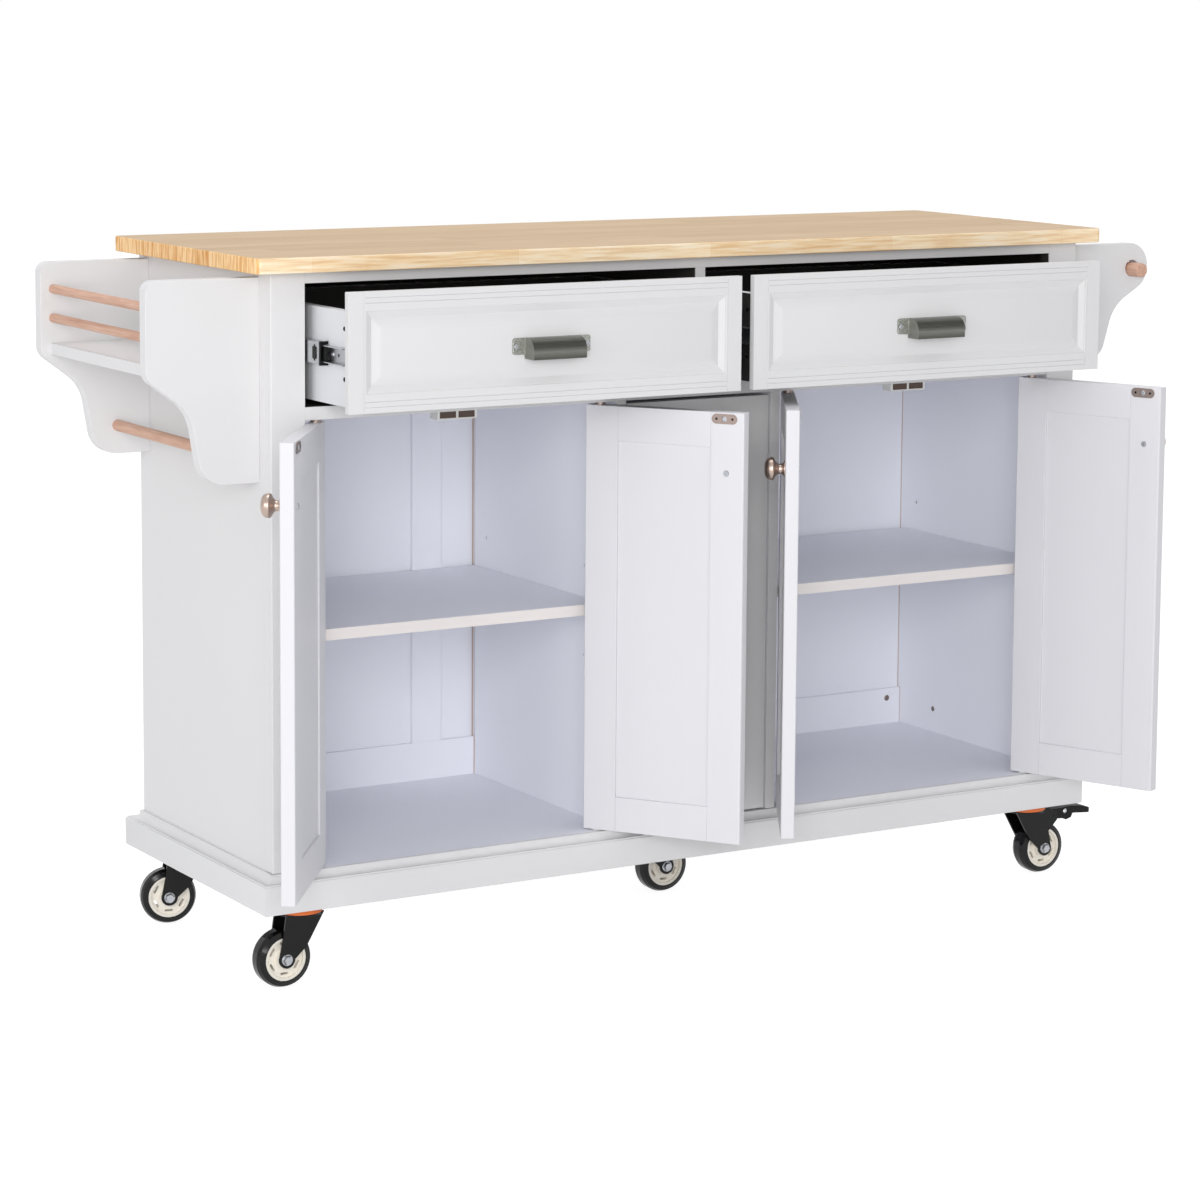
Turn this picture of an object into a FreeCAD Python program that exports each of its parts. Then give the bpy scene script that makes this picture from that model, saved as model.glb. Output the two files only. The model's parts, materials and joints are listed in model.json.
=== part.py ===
import FreeCAD, Part
import math
import os

# Rolling kitchen island with two drawers, four cupboard doors, a spice rack, a roll holder and
# five casters. Millimetres. X runs to the right, Y to the back, Z up, and the floor is Z = 0.
# While the pieces are made, X = 0 is the middle of the worktop and Y = 0 its front edge.

# Sizes seen from outside
TOP_WIDTH = 1305.0
TOP_DEPTH = 444.0
TOP_THICK = 20.0
TOP_CORNER = 8.0
TOP_EASE = 1.5
TOP_OVERHANG = 27.5
FRONT_SETBACK = 22.0
BACK_SETBACK = 20.0
BOARD = 15.0

# Heights from the floor up
CASTER_HEIGHT = 108.0
PLINTH_DROP = 3.0
PLINTH_FACE = 36.5
PLINTH_MOULD = 11.5
DOOR_OPENING = 570.0
MID_THICK = 16.5
DRAWER_OPENING = 154.0
TOP_RAIL = 14.5

# Front frame and back frame
STILE_WIDTH = 47.0
STILE_THICK = 19.0
STRETCHER_DEPTH = 60.0
BACK_FRAME_THICK = 20.0
BACK_STILE = 46.0
BACK_STILE_MIDDLE = 204.0
BACK_BOTTOM_RAIL = 53.5
BACK_TOP_RAIL = 60.0
BACK_PANEL_THICK = 6.0
BACK_PANEL_RECESS = 6.0
GROOVE_DEPTH = 8.0

# Plinth
PLINTH_THICK = 19.0
MOULD_STEP = 2.0
MOULD_LIP = 4.0

# Inside of the cupboards
MIDDLE_SHARE = 0.1955
SHELF_LIFT = 299.0
SHELF_SETBACK = 30.0
SHELF_GAP = 1.0
PEG_RADIUS = 2.5
PEG_LENGTH = 16.0
PEG_DEPTH = 8.0
PEG_STEP = 60.0
PEG_FRONT = 60.0
PEG_BACK = 33.0
BATTEN_WIDTH = 92.0
CLEAT = 15.0

# Doors and the fixed middle panel
DOOR_THICK = 18.0
DOOR_GAP = 2.0
DOOR_TOP_GAP = 4.0
DOOR_FRAME = 46.0
DOOR_PANEL_THICK = 6.0
DOOR_PANEL_BACK = 3.0
DOOR_EASE = 2.0
PIVOT_INSET = 17.0
PIN_RADIUS = 3.0
PIN_IN_DOOR = 20.0
PIN_IN_BOARD = 9.0
PIN_END_GAP = 1.0
RUNNING_GAP = 0.05
WASHER_RADIUS = 7.0
CLEAR = 0.3
DOOR_ANGLES = (126.0, 125.5, 121.9, 113.6)
STRIKE_LENGTH = 35.0
STRIKE_HEIGHT = 13.0
STRIKE_THICK = 0.8
STRIKE_TOP = 2.0
STRIKE_EDGE = 9.5

# Knob, measured from the face of the door
KNOB_EDGE = 24.0
KNOB_DROP = 79.0
KNOB_LENGTH = 26.5
KNOB_FOOT_RADIUS = 10.5
KNOB_FOOT = 1.5
KNOB_WAIST_RADIUS = 6.5
KNOB_WAIST = 9.0
KNOB_RING_RADIUS = 12.5
KNOB_RING = 14.0
KNOB_RADIUS = 15.0
KNOB_RIM = 17.0
KNOB_SHOULDER_RADIUS = 13.5
KNOB_SHOULDER = 23.0
KNOB_CROWN_RADIUS = 8.5
KNOB_CROWN = 25.8

# Magnetic catch
CATCH_LENGTH = 57.0
CATCH_DEPTH = 20.0
CATCH_HEIGHT = 13.0
MAGNET_LENGTH = 23.0
MAGNET_HEIGHT = 9.0
MAGNET_DEPTH = 12.0
MAGNET_PITCH = 27.0
MAGNET_PROUD = 0.8

# Drawers
DRAWER_GAP = 2.0
DRAWER_EDGE_GAP = 2.5
DRAWER_FRONT_THICK = 10.0
DRAWER_PULL = 115.5
FRONT_FRAME = 24.0
FRONT_COVE = 9.0
FRONT_COVE_STEP = 1.2
FRONT_COVE_DEPTH = 5.0
FRONT_BEVEL = 13.0
FRONT_FIELD_DEPTH = 1.0
DRAWER_BOX_HEIGHT = 118.0
DRAWER_BOX_LIFT = 8.0
DRAWER_SIDE = 12.0
DRAWER_BOTTOM = 5.0
DRAWER_BOTTOM_LIFT = 10.0
DRAWER_GROOVE = 6.0

# Ball-bearing slides
SLIDE_BACK_GAP = 11.0
SLIDE_THICK = 12.7
SLIDE_HEIGHT = 35.0
SLIDE_WALL = 1.2
SLIDE_LIFT = 70.5
SLIDE_START = 21.0
BALL_OUTER = 2.4
BALL_INNER = 1.4
BALL_ROW = 160.0
BALL_ROW_END = 10.0
SLIDE_OUTER_FLANGE = 8.6
SLIDE_MID_START = 2.0
SLIDE_MID_FLANGE = 8.6
SLIDE_INNER_FLANGE = 8.0
SLIDE_SHARE = 0.5
PACKER_HEIGHT = 50.0

# Cup handle
HANDLE_PLATE_LENGTH = 112.0
HANDLE_PLATE_HEIGHT = 21.0
HANDLE_PLATE_THICK = 2.0
HANDLE_PLATE_CORNER = 4.0
CUP_LENGTH = 77.0
CUP_HEIGHT = 26.5
CUP_RISE = 9.0
CUP_REACH = 24.5
CUP_SLOPE = 1.0
CUP_TUCK = 1.0
CUP_RADIUS = 16.0
CUP_WALL = 2.0

# Spice rack on the left and roll holder on the right
BRACKET_THICK = 18.0
BRACKET_DROP = 7.5
BRACKET_MARGIN = 13.5
RACK_REACH = 152.0
RACK_HEIGHT = 256.0
RACK_TOP_RADIUS = 14.0
RACK_BULGE = 120.0
RACK_BULGE_RADIUS = 20.0
RACK_KNEE_REACH = 92.5
RACK_KNEE = 164.5
RACK_KNEE_RADIUS = 56.0
RACK_FOOT_REACH = 77.0
RACK_FOOT_RADIUS = 36.0
RACK_SHELF_REACH = 138.0
RACK_SHELF_TOP = 105.5
RACK_SHELF_THICK = 15.0
DOWEL_RADIUS = 6.0
DOWEL_REACH = 134.5
DOWEL_DROPS = (35.2, 73.0)
TOWEL_RADIUS = 7.5
TOWEL_REACH = 46.0
TOWEL_DROP = 218.5
DOWEL_SOCKET = 10.0
HOLDER_REACH = 156.0
HOLDER_TOP_RADIUS = 32.0
HOLDER_BULGE = 54.0
HOLDER_BULGE_RADIUS = 34.0
HOLDER_KNEE_REACH = 96.0
HOLDER_KNEE = 89.5
HOLDER_KNEE_RADIUS = 60.0
HOLDER_FOOT_REACH = 74.0
HOLDER_HEIGHT = 165.0
HOLDER_FOOT_RADIUS = 30.0
ROD_REACH = 128.0
ROD_DROP = 36.0
ROD_RADIUS = 10.0
ROD_HOLE_RADIUS = 12.0
ROD_PROUD = 23.5
ROD_EASE = 1.5

# Casters
CASTER_INSET_X = 68.0
CASTER_INSET_Y = 46.0
MIDDLE_CASTER_SHIFT = 46.0
CASTER_TURNS = {"front_left": 180.0, "front_right": 0.0, "rear_left": 164.5, "rear_right": 20.0, "middle": 0.0}
BRAKED = ("front_right", "rear_right")
PLATE_LENGTH = 90.0
PLATE_WIDTH = 54.0
PLATE_THICK = 2.5
PLATE_CORNER = 8.0
RACE_RADIUS = 24.0
RACE_HEIGHT = 4.5
SEAL_RADIUS = 30.0
SEAL_BORE = 12.0
SEAL_THICK = 5.5
KING_RADIUS = 5.0
CROWN_RADIUS = 29.0
CROWN_THICK = 3.0
LEG_THICK = 2.5
LEG_GAP = 0.5
LEG_BACK = 27.0
LEG_FRONT = 26.0
LEG_WAIST_REACH = 31.0
LEG_WAIST_RISE = 24.5
LEG_KNEE_REACH = 2.0
LEG_KNEE_RISE = 14.5
LEG_BOSS = 11.0
LEG_LUG = 46.0
TRAIL = 25.0
WHEEL_HEADROOM = 17.2
WHEEL_WIDTH = 28.0
TYRE_SHOULDER = 8.0
BEND_SHARE = 0.3
TYRE_THICK = 9.5
CORE_HALF = 13.0
RIM_THICK = 3.5
WEB_HALF = 9.0
HUB_RADIUS = 13.0
HUB_HALF = 15.0
SLOT_COUNT = 6
SLOT_INSET = 5.0
SLOT_LENGTH = 11.0
SLOT_WIDTH = 3.0
AXLE_RADIUS = 4.0

# Brake pedal; its upper and lower lines are (reach, rise) from the pivot
PEDAL_PIVOT_REACH = 40.0
PEDAL_PIVOT_DROP = 12.2
PEDAL_BOSS = 6.0
PEDAL_PIN_RADIUS = 2.0
PEDAL_UPPER = ((35.0, 10.0), (55.0, 8.0), (68.0, 4.0), (72.0, 0.0))
PEDAL_LOWER = ((68.0, -3.5), (38.0, -1.0), (35.0, -7.0), (26.0, -9.5), (20.0, -7.0), (6.0, -6.0))
PEDAL_RISE = 8.0
PEDAL_WIDTH = 26.0
PEDAL_WALL = 2.5
PEDAL_CORNER = 8.0

# Heights and lines that follow from the sizes above
PLINTH_BOTTOM = CASTER_HEIGHT - PLINTH_DROP
FLOOR_TOP = PLINTH_BOTTOM + PLINTH_FACE + PLINTH_MOULD
MID_BOTTOM = FLOOR_TOP + DOOR_OPENING
MID_TOP = MID_BOTTOM + MID_THICK
RAIL_BOTTOM = MID_TOP + DRAWER_OPENING
CARCASS_TOP = RAIL_BOTTOM + TOP_RAIL
TOP_Z = CARCASS_TOP + TOP_THICK
SHELF_TOP = FLOOR_TOP + SHELF_LIFT
SLIDE_MIDDLE = MID_TOP + SLIDE_LIFT

FACE_Y = FRONT_SETBACK
SIDE_Y = FACE_Y + STILE_THICK
BACK_Y = TOP_DEPTH - BACK_SETBACK
INNER_BACK_Y = BACK_Y - BACK_FRAME_THICK

OUTER_X = TOP_WIDTH / 2 - TOP_OVERHANG
INNER_X = OUTER_X - BOARD
OPENING_X = OUTER_X - STILE_WIDTH
MIDDLE_BAY = 2 * OPENING_X * MIDDLE_SHARE
BAY_X = MIDDLE_BAY / 2
PARTITION_X = BAY_X + BOARD
DIVIDER_X = BOARD / 2

PANEL_WIDTH = MIDDLE_BAY - 2 * DOOR_GAP
DOOR_BOTTOM = FLOOR_TOP + DOOR_GAP
DOOR_TOP = MID_BOTTOM - DOOR_TOP_GAP
DOOR_WIDTH = (OPENING_X - PARTITION_X - 3 * DOOR_GAP) / 2
PIVOT_Y = FACE_Y + DOOR_THICK / 2

SLIDE_Y = FACE_Y + SLIDE_START
SLIDE_LENGTH = INNER_BACK_Y - SLIDE_Y - SLIDE_BACK_GAP
SLIDE_MID_HEIGHT = SLIDE_HEIGHT - 2 * (SLIDE_WALL + BALL_OUTER + CLEAR)
SLIDE_INNER_HEIGHT = SLIDE_MID_HEIGHT - 2 * (SLIDE_WALL + BALL_INNER + CLEAR)
DRAWER_BACK_Y = FACE_Y + DRAWER_FRONT_THICK
BRACKET_TOP = CARCASS_TOP - BRACKET_DROP
RACK_FRONT_Y = SIDE_Y + BRACKET_MARGIN
RACK_BACK_Y = BACK_Y - BRACKET_MARGIN
FORK_TOP = CASTER_HEIGHT - PLATE_THICK - RACE_HEIGHT - SEAL_THICK - CLEAR
WHEEL_RADIUS = (FORK_TOP - CROWN_THICK - WHEEL_HEADROOM) / 2
CORE_RADIUS = WHEEL_RADIUS - TYRE_THICK
SLOT_RADIUS = CORE_RADIUS - RIM_THICK - SLOT_INSET
PEDAL_PIVOT_HEIGHT = FORK_TOP - PEDAL_PIVOT_DROP
FORK_INNER = HUB_HALF + LEG_GAP
FORK_OUTER = FORK_INNER + LEG_THICK
PLINTH_X = OUTER_X + PLINTH_THICK
PLINTH_FRONT_Y = FACE_Y - PLINTH_THICK
PLINTH_BACK_Y = BACK_Y + PLINTH_THICK

UP = FreeCAD.Vector(0, 0, 1)
BACKWARD = FreeCAD.Vector(0, 1, 0)
RIGHT = FreeCAD.Vector(1, 0, 0)


def point(x, y, z):
    return FreeCAD.Vector(x, y, z)


def board(x0, x1, y0, y1, z0, z1):
    """A rectangular board between three pairs of faces."""
    return Part.makeBox(abs(x1 - x0), y1 - y0, z1 - z0, point(min(x0, x1), y0, z0))


def rod_y(x, z, radius, y0, y1):
    """A round rod that runs from front to back."""
    return Part.makeCylinder(radius, y1 - y0, point(x, y0, z), BACKWARD)


def group(shapes):
    return Part.makeCompound(shapes)


def outline(corners):
    """Closed wire through (point, radius) corners, each corner rounded by its radius."""
    edges = []
    ends = []
    count = len(corners)
    for i in range(count):
        here, radius = corners[i]
        before = corners[i - 1][0]
        after = corners[(i + 1) % count][0]
        inward = (before - here).normalize()
        outward = (after - here).normalize()
        if radius == 0:
            ends.append((here, here, None))
            continue
        half = inward.getAngle(outward) / 2
        reach = radius / math.tan(half)
        middle = (inward + outward).normalize()
        top = here + middle * (radius / math.sin(half) - radius)
        ends.append((here + inward * reach, here + outward * reach, top))
    for i in range(count):
        start, finish, top = ends[i]
        if top is not None:
            edges.append(Part.Arc(start, top, finish).toShape())
        following = ends[(i + 1) % count][0]
        if finish.distanceToPoint(following) > RUNNING_GAP:
            edges.append(Part.makeLine(finish, following))
    return Part.Wire(edges)


def solid_from(corners, direction):
    return Part.Face(outline(corners)).extrude(direction)


def revolved(profile, centre, axis):
    """Solid of revolution from a closed list of points around an axis."""
    face = Part.Face(Part.makePolygon(profile + [profile[0]]))
    return face.revolve(centre, axis, 360)


def worktop():
    slab = board(-TOP_WIDTH / 2, TOP_WIDTH / 2, 0, TOP_DEPTH, CARCASS_TOP, TOP_Z)
    upright = [e for e in slab.Edges if abs(e.BoundBox.ZLength - TOP_THICK) < RUNNING_GAP]
    slab = slab.makeFillet(TOP_CORNER, upright)
    rim = [e for e in slab.Edges if e.BoundBox.ZLength < RUNNING_GAP]
    return slab.makeFillet(TOP_EASE, rim)


def peg_places(wall_x, toward):
    """Peg holes in a wall that faces the given way: two columns of three heights."""
    places = []
    for y in (SIDE_Y + PEG_FRONT, INNER_BACK_Y - PEG_BACK):
        for step in (-1, 0, 1):
            z = SHELF_TOP - BOARD - PEG_RADIUS + step * PEG_STEP
            places.append((wall_x, y, z, toward))
    return places


def peg(place, start, length):
    """A peg or its hole; start is how far inside the wall it begins."""
    x, y, z, toward = place
    return Part.makeCylinder(PEG_RADIUS, length, point(x - toward * start, y, z), RIGHT * toward)


def side_panels():
    """Outer sides, drilled for the shelf pegs and grooved for the back panels."""
    panels = []
    backs = back_panels()
    for side in (-1, 1):
        panel = board(side * INNER_X, side * OUTER_X, SIDE_Y, BACK_Y, CASTER_HEIGHT, CARCASS_TOP)
        for place in peg_places(side * INNER_X, -side):
            panel = panel.cut(peg(place, PEG_DEPTH, PEG_DEPTH))
        panels.append(panel.cut(backs))
    return group(panels)


def face_stiles():
    stiles = []
    for side in (-1, 1):
        stile = board(side * OPENING_X, side * OUTER_X, FACE_Y, SIDE_Y, FLOOR_TOP, CARCASS_TOP)
        corner = [
            e for e in stile.Edges
            if e.BoundBox.ZLength > STILE_WIDTH
            and abs(e.BoundBox.YMin - FACE_Y) < RUNNING_GAP
            and abs(abs(e.BoundBox.XMin) - OUTER_X) < RUNNING_GAP
        ]
        stiles.append(stile.makeFillet(TOP_EASE, corner))
    return group(stiles)


def notched(front_y, back_y, z0, z1):
    """A flat board that is narrower between the front stiles than between the sides."""
    wide = board(-INNER_X, INNER_X, SIDE_Y, back_y, z0, z1)
    narrow = board(-OPENING_X, OPENING_X, front_y, SIDE_Y, z0, z1)
    return wide.fuse(narrow).removeSplitter()


def top_rails():
    front = notched(FACE_Y, SIDE_Y + STRETCHER_DEPTH, RAIL_BOTTOM, CARCASS_TOP)
    rear = board(-INNER_X, INNER_X, INNER_BACK_Y - STRETCHER_DEPTH, INNER_BACK_Y, RAIL_BOTTOM, CARCASS_TOP)
    return group([front, rear])


def mid_board():
    shelf = notched(FACE_Y, INNER_BACK_Y, MID_BOTTOM, MID_TOP)
    for door in DOORS:
        hole = Part.makeCylinder(PIN_RADIUS + RUNNING_GAP, PIN_IN_BOARD + PIN_END_GAP,
                                 point(door["pivot"], PIVOT_Y, MID_BOTTOM))
        shelf = shelf.cut(hole)
    return shelf


def floor_boards():
    """The cupboard floor and the cross battens that carry the casters."""
    floor = board(-INNER_X, INNER_X, FACE_Y, INNER_BACK_Y, FLOOR_TOP - BOARD, FLOOR_TOP)
    depth = PIN_IN_BOARD + PIN_END_GAP
    for door in DOORS:
        hole = Part.makeCylinder(PIN_RADIUS + RUNNING_GAP, depth, point(door["pivot"], PIVOT_Y, FLOOR_TOP - depth))
        floor = floor.cut(hole)
    battens = []
    for x in (-CASTER_X, MIDDLE_CASTER_SHIFT, CASTER_X):
        x0 = max(x - BATTEN_WIDTH / 2, -INNER_X)
        x1 = min(x + BATTEN_WIDTH / 2, INNER_X)
        battens.append(board(x0, x1, FACE_Y, BACK_Y - BACK_FRAME_THICK, CASTER_HEIGHT, FLOOR_TOP - BOARD))
    return group([floor] + battens)


def partitions():
    """Two cupboard partitions, the drawer divider and the packers behind the slides."""
    boards = []
    for side in (-1, 1):
        wall = board(side * BAY_X, side * PARTITION_X, FACE_Y, INNER_BACK_Y, FLOOR_TOP, MID_BOTTOM)
        for place in peg_places(side * PARTITION_X, side):
            wall = wall.cut(peg(place, PEG_DEPTH, PEG_DEPTH))
        boards.append(wall)
        boards.append(board(side * OPENING_X, side * INNER_X, SIDE_Y, INNER_BACK_Y,
                            SLIDE_MIDDLE - PACKER_HEIGHT / 2, SLIDE_MIDDLE + PACKER_HEIGHT / 2))
    boards.append(board(-DIVIDER_X, DIVIDER_X, FACE_Y, INNER_BACK_Y, MID_TOP, RAIL_BOTTOM))
    return group(boards)


def back_bays():
    """Left and right limits of the three bays between the back stiles and the side panels."""
    inner = BACK_STILE_MIDDLE - BACK_STILE / 2
    outer = BACK_STILE_MIDDLE + BACK_STILE / 2
    return [(-INNER_X, -outer), (-inner, inner), (outer, INNER_X)]


def back_panels():
    """Thin fields let into grooves of the back stiles, the back rails and the side panels."""
    y0 = INNER_BACK_Y + BACK_PANEL_RECESS
    z0 = FLOOR_TOP + BACK_BOTTOM_RAIL - GROOVE_DEPTH
    z1 = CARCASS_TOP - BACK_TOP_RAIL + GROOVE_DEPTH
    panels = []
    for left, right in back_bays():
        panels.append(board(left - GROOVE_DEPTH, right + GROOVE_DEPTH, y0, y0 + BACK_PANEL_THICK, z0, z1))
    return group(panels)


def back_frame():
    """Two rails from side panel to side panel and two stiles that stand between them."""
    bottom_rail_top = FLOOR_TOP + BACK_BOTTOM_RAIL
    top_rail_bottom = CARCASS_TOP - BACK_TOP_RAIL
    boards = [
        board(-INNER_X, INNER_X, INNER_BACK_Y, BACK_Y, CASTER_HEIGHT, bottom_rail_top),
        board(-INNER_X, INNER_X, INNER_BACK_Y, BACK_Y, top_rail_bottom, CARCASS_TOP),
    ]
    for side in (-1, 1):
        left = side * BACK_STILE_MIDDLE - BACK_STILE / 2
        boards.append(board(left, left + BACK_STILE, INNER_BACK_Y, BACK_Y, bottom_rail_top, top_rail_bottom))
    panels = back_panels()
    return group([piece.cut(panels) for piece in boards])


def plinth_section(along, out):
    """Section of the plinth board: flat face, small step, cove and flat top."""
    foot = PLINTH_BOTTOM
    face = foot + PLINTH_FACE
    inner = -PLINTH_THICK
    cove_out = -MOULD_STEP
    cove_in = inner + MOULD_LIP
    step_top = face + MOULD_STEP
    lip = FLOOR_TOP - MOULD_STEP
    bend = point(0, 0, 0) + out * (cove_in + MOULD_STEP) + UP * (step_top + MOULD_STEP)
    start = out * cove_out + UP * step_top
    finish = out * cove_in + UP * lip
    edges = [
        Part.makeLine(out * inner + UP * foot, UP * foot),
        Part.makeLine(UP * foot, UP * face),
        Part.makeLine(UP * face, out * cove_out + UP * face),
        Part.makeLine(out * cove_out + UP * face, start),
        Part.Arc(start, bend, finish).toShape(),
        Part.makeLine(finish, out * cove_in + UP * FLOOR_TOP),
        Part.makeLine(out * cove_in + UP * FLOOR_TOP, out * inner + UP * FLOOR_TOP),
        Part.makeLine(out * inner + UP * FLOOR_TOP, out * inner + UP * foot),
    ]
    return Part.Face(Part.Wire(edges)).extrude(along)


def mitre(corners):
    """A tall wedge in plan that a plinth board is cut to."""
    flat = [(point(x, y, 0), 0) for x, y in corners]
    return solid_from(flat, UP * TOP_Z)


def plinth_boards():
    x, front, back, thick = PLINTH_X, PLINTH_FRONT_Y, PLINTH_BACK_Y, PLINTH_THICK
    boards = []
    length = RIGHT * (x + x)
    for y, inner_y, out in ((front, front + thick, -BACKWARD), (back, back - thick, BACKWARD)):
        piece = plinth_section(length, out)
        piece.translate(point(-x, y, 0))
        wedge = mitre([(-x, y), (x, y), (x - thick, inner_y), (thick - x, inner_y)])
        boards.append(piece.common(wedge))
    depth = BACKWARD * (back - front)
    for side in (-1, 1):
        piece = plinth_section(depth, RIGHT * side)
        piece.translate(point(side * x, front, 0))
        inner = side * (x - thick)
        wedge = mitre([(side * x, front), (side * x, back), (inner, back - thick), (inner, front + thick)])
        boards.append(piece.common(wedge))
    return group(boards)


def shelves():
    boards = []
    for side in (-1, 1):
        left = side * (PARTITION_X + SHELF_GAP)
        right = side * (INNER_X - SHELF_GAP)
        boards.append(board(left, right, FACE_Y + SHELF_SETBACK, INNER_BACK_Y - SHELF_GAP,
                            SHELF_TOP - BOARD, SHELF_TOP))
    return group(boards)


def shelf_pegs():
    pegs = []
    for side in (-1, 1):
        for wall_x, toward in ((side * INNER_X, -side), (side * PARTITION_X, side)):
            for place in peg_places(wall_x, toward):
                if abs(place[2] - (SHELF_TOP - BOARD - PEG_RADIUS)) < RUNNING_GAP:
                    pegs.append(peg(place, PEG_DEPTH, PEG_LENGTH))
    return group(pegs)


def framed_panel(left, right):
    """Frame of four boards with a thinner field let into it; the outer upright edges are eased."""
    y0, y1 = FACE_Y, FACE_Y + DOOR_THICK
    inner_left = left + DOOR_FRAME
    inner_right = right - DOOR_FRAME
    inner_bottom = DOOR_BOTTOM + DOOR_FRAME
    inner_top = DOOR_TOP - DOOR_FRAME
    field = board(inner_left - GROOVE_DEPTH, inner_right + GROOVE_DEPTH, y1 - DOOR_PANEL_BACK - DOOR_PANEL_THICK,
                  y1 - DOOR_PANEL_BACK, inner_bottom - GROOVE_DEPTH, inner_top + GROOVE_DEPTH)
    stiles = []
    for x0, x1, outer in ((left, inner_left, left), (inner_right, right, right)):
        stile = board(x0, x1, y0, y1, DOOR_BOTTOM, DOOR_TOP)
        corner = [e for e in stile.Edges if e.BoundBox.ZLength > DOOR_FRAME
                  and abs(e.BoundBox.XMin - outer) < RUNNING_GAP]
        stiles.append(stile.makeFillet(DOOR_EASE, corner))
    rails = [
        board(inner_left, inner_right, y0, y1, DOOR_BOTTOM, inner_bottom),
        board(inner_left, inner_right, y0, y1, inner_top, DOOR_TOP),
    ]
    return [piece.cut(field) for piece in stiles + rails] + [field]


def middle_panel():
    """The fixed panel between the cupboards and the two cleats that hold it."""
    pieces = framed_panel(-PANEL_WIDTH / 2, PANEL_WIDTH / 2)
    y0 = FACE_Y + DOOR_THICK
    for side in (-1, 1):
        pieces.append(board(side * (BAY_X - CLEAT), side * BAY_X, y0, y0 + CLEAT,
                            DOOR_BOTTOM + DOOR_FRAME, DOOR_TOP - DOOR_FRAME))
    return group(pieces)


def door_pins(door):
    """The hole or pin axis of one door, as pins inside the door and out of both ends."""
    x = door["pivot"]
    lower = Part.makeCylinder(PIN_RADIUS, PIN_IN_DOOR + DOOR_GAP + PIN_IN_BOARD,
                              point(x, PIVOT_Y, FLOOR_TOP - PIN_IN_BOARD))
    upper = Part.makeCylinder(PIN_RADIUS, PIN_IN_DOOR + DOOR_TOP_GAP + PIN_IN_BOARD,
                              point(x, PIVOT_Y, DOOR_TOP - PIN_IN_DOOR))
    return lower, upper


def swing(shape, door):
    """Turn a closed door piece to the angle it stands at."""
    shape.rotate(point(door["pivot"], PIVOT_Y, 0), UP, -door["hinge_side"] * door["angle"])
    return shape


def door_leaf(door):
    lower, upper = door_pins(door)
    pieces = framed_panel(door["left"], door["left"] + DOOR_WIDTH)
    pieces = [piece.cut(lower).cut(upper) for piece in pieces]
    return swing(group(pieces), door)


def door_knob(door):
    x = door["free"] - door["hinge_side"] * KNOB_EDGE
    z = DOOR_TOP - KNOB_DROP
    half = [
        (0, 0), (KNOB_FOOT_RADIUS, 0), (KNOB_FOOT_RADIUS, KNOB_FOOT), (KNOB_WAIST_RADIUS, KNOB_WAIST),
        (KNOB_RING_RADIUS, KNOB_RING), (KNOB_RADIUS, KNOB_RIM), (KNOB_SHOULDER_RADIUS, KNOB_SHOULDER),
        (KNOB_CROWN_RADIUS, KNOB_CROWN), (0, KNOB_LENGTH),
    ]
    profile = [point(x + radius, FACE_Y - length, z) for radius, length in half]
    return swing(revolved(profile, point(x, FACE_Y, z), BACKWARD), door)


def door_fittings(door):
    """Strike plate for the magnet, pivot pins and the washers they carry."""
    back = FACE_Y + DOOR_THICK
    x0 = door["free"] - door["hinge_side"] * STRIKE_EDGE
    x1 = x0 - door["hinge_side"] * STRIKE_LENGTH
    z1 = DOOR_TOP - STRIKE_TOP
    z0 = z1 - STRIKE_HEIGHT
    round_end = STRIKE_HEIGHT / 2
    corners = [(point(x, back, z), round_end - RUNNING_GAP) for x, z in ((x0, z0), (x1, z0), (x1, z1), (x0, z1))]
    strike = solid_from(corners, BACKWARD * STRIKE_THICK)
    lower, upper = door_pins(door)
    x = door["pivot"]
    washers = []
    for z, thick in ((DOOR_BOTTOM - DOOR_GAP + CLEAR, DOOR_GAP - CLEAR), (DOOR_TOP, DOOR_TOP_GAP - CLEAR)):
        washer = Part.makeCylinder(WASHER_RADIUS, thick, point(x, PIVOT_Y, z))
        washers.append(washer.cut(lower).cut(upper))
    return swing(group([strike, lower, upper] + washers), door)


def magnet_catches():
    """One double catch per cupboard, under the middle board, behind the meeting door edges."""
    pieces = []
    y0 = FACE_Y + DOOR_THICK + STRIKE_THICK + CLEAR
    z0 = MID_BOTTOM - CATCH_HEIGHT
    for side in (-1, 1):
        x = side * (PARTITION_X + OPENING_X) / 2
        case_y = y0 + MAGNET_PROUD
        case = board(x - CATCH_LENGTH / 2, x + CATCH_LENGTH / 2, case_y, case_y + CATCH_DEPTH, z0, MID_BOTTOM)
        for way in (-1, 1):
            middle = x + way * MAGNET_PITCH / 2
            low = z0 + (CATCH_HEIGHT - MAGNET_HEIGHT) / 2
            magnet = board(middle - MAGNET_LENGTH / 2, middle + MAGNET_LENGTH / 2, y0, y0 + MAGNET_DEPTH,
                           low, low + MAGNET_HEIGHT)
            case = case.cut(magnet)
            pieces.append(magnet)
        pieces.append(case)
    return group(pieces)


def rectangle(left, right, low, high, inset, y):
    corners = [(left + inset, low + inset), (right - inset, low + inset),
               (right - inset, high - inset), (left + inset, high - inset)]
    points = [point(x, y, z) for x, z in corners]
    return Part.makePolygon(points + [points[0]])


def drawer_span(side):
    """Left and right edge of a drawer front."""
    near = side * (DIVIDER_X + DRAWER_GAP)
    far = side * (OPENING_X - DRAWER_GAP)
    return min(near, far), max(near, far)


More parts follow.
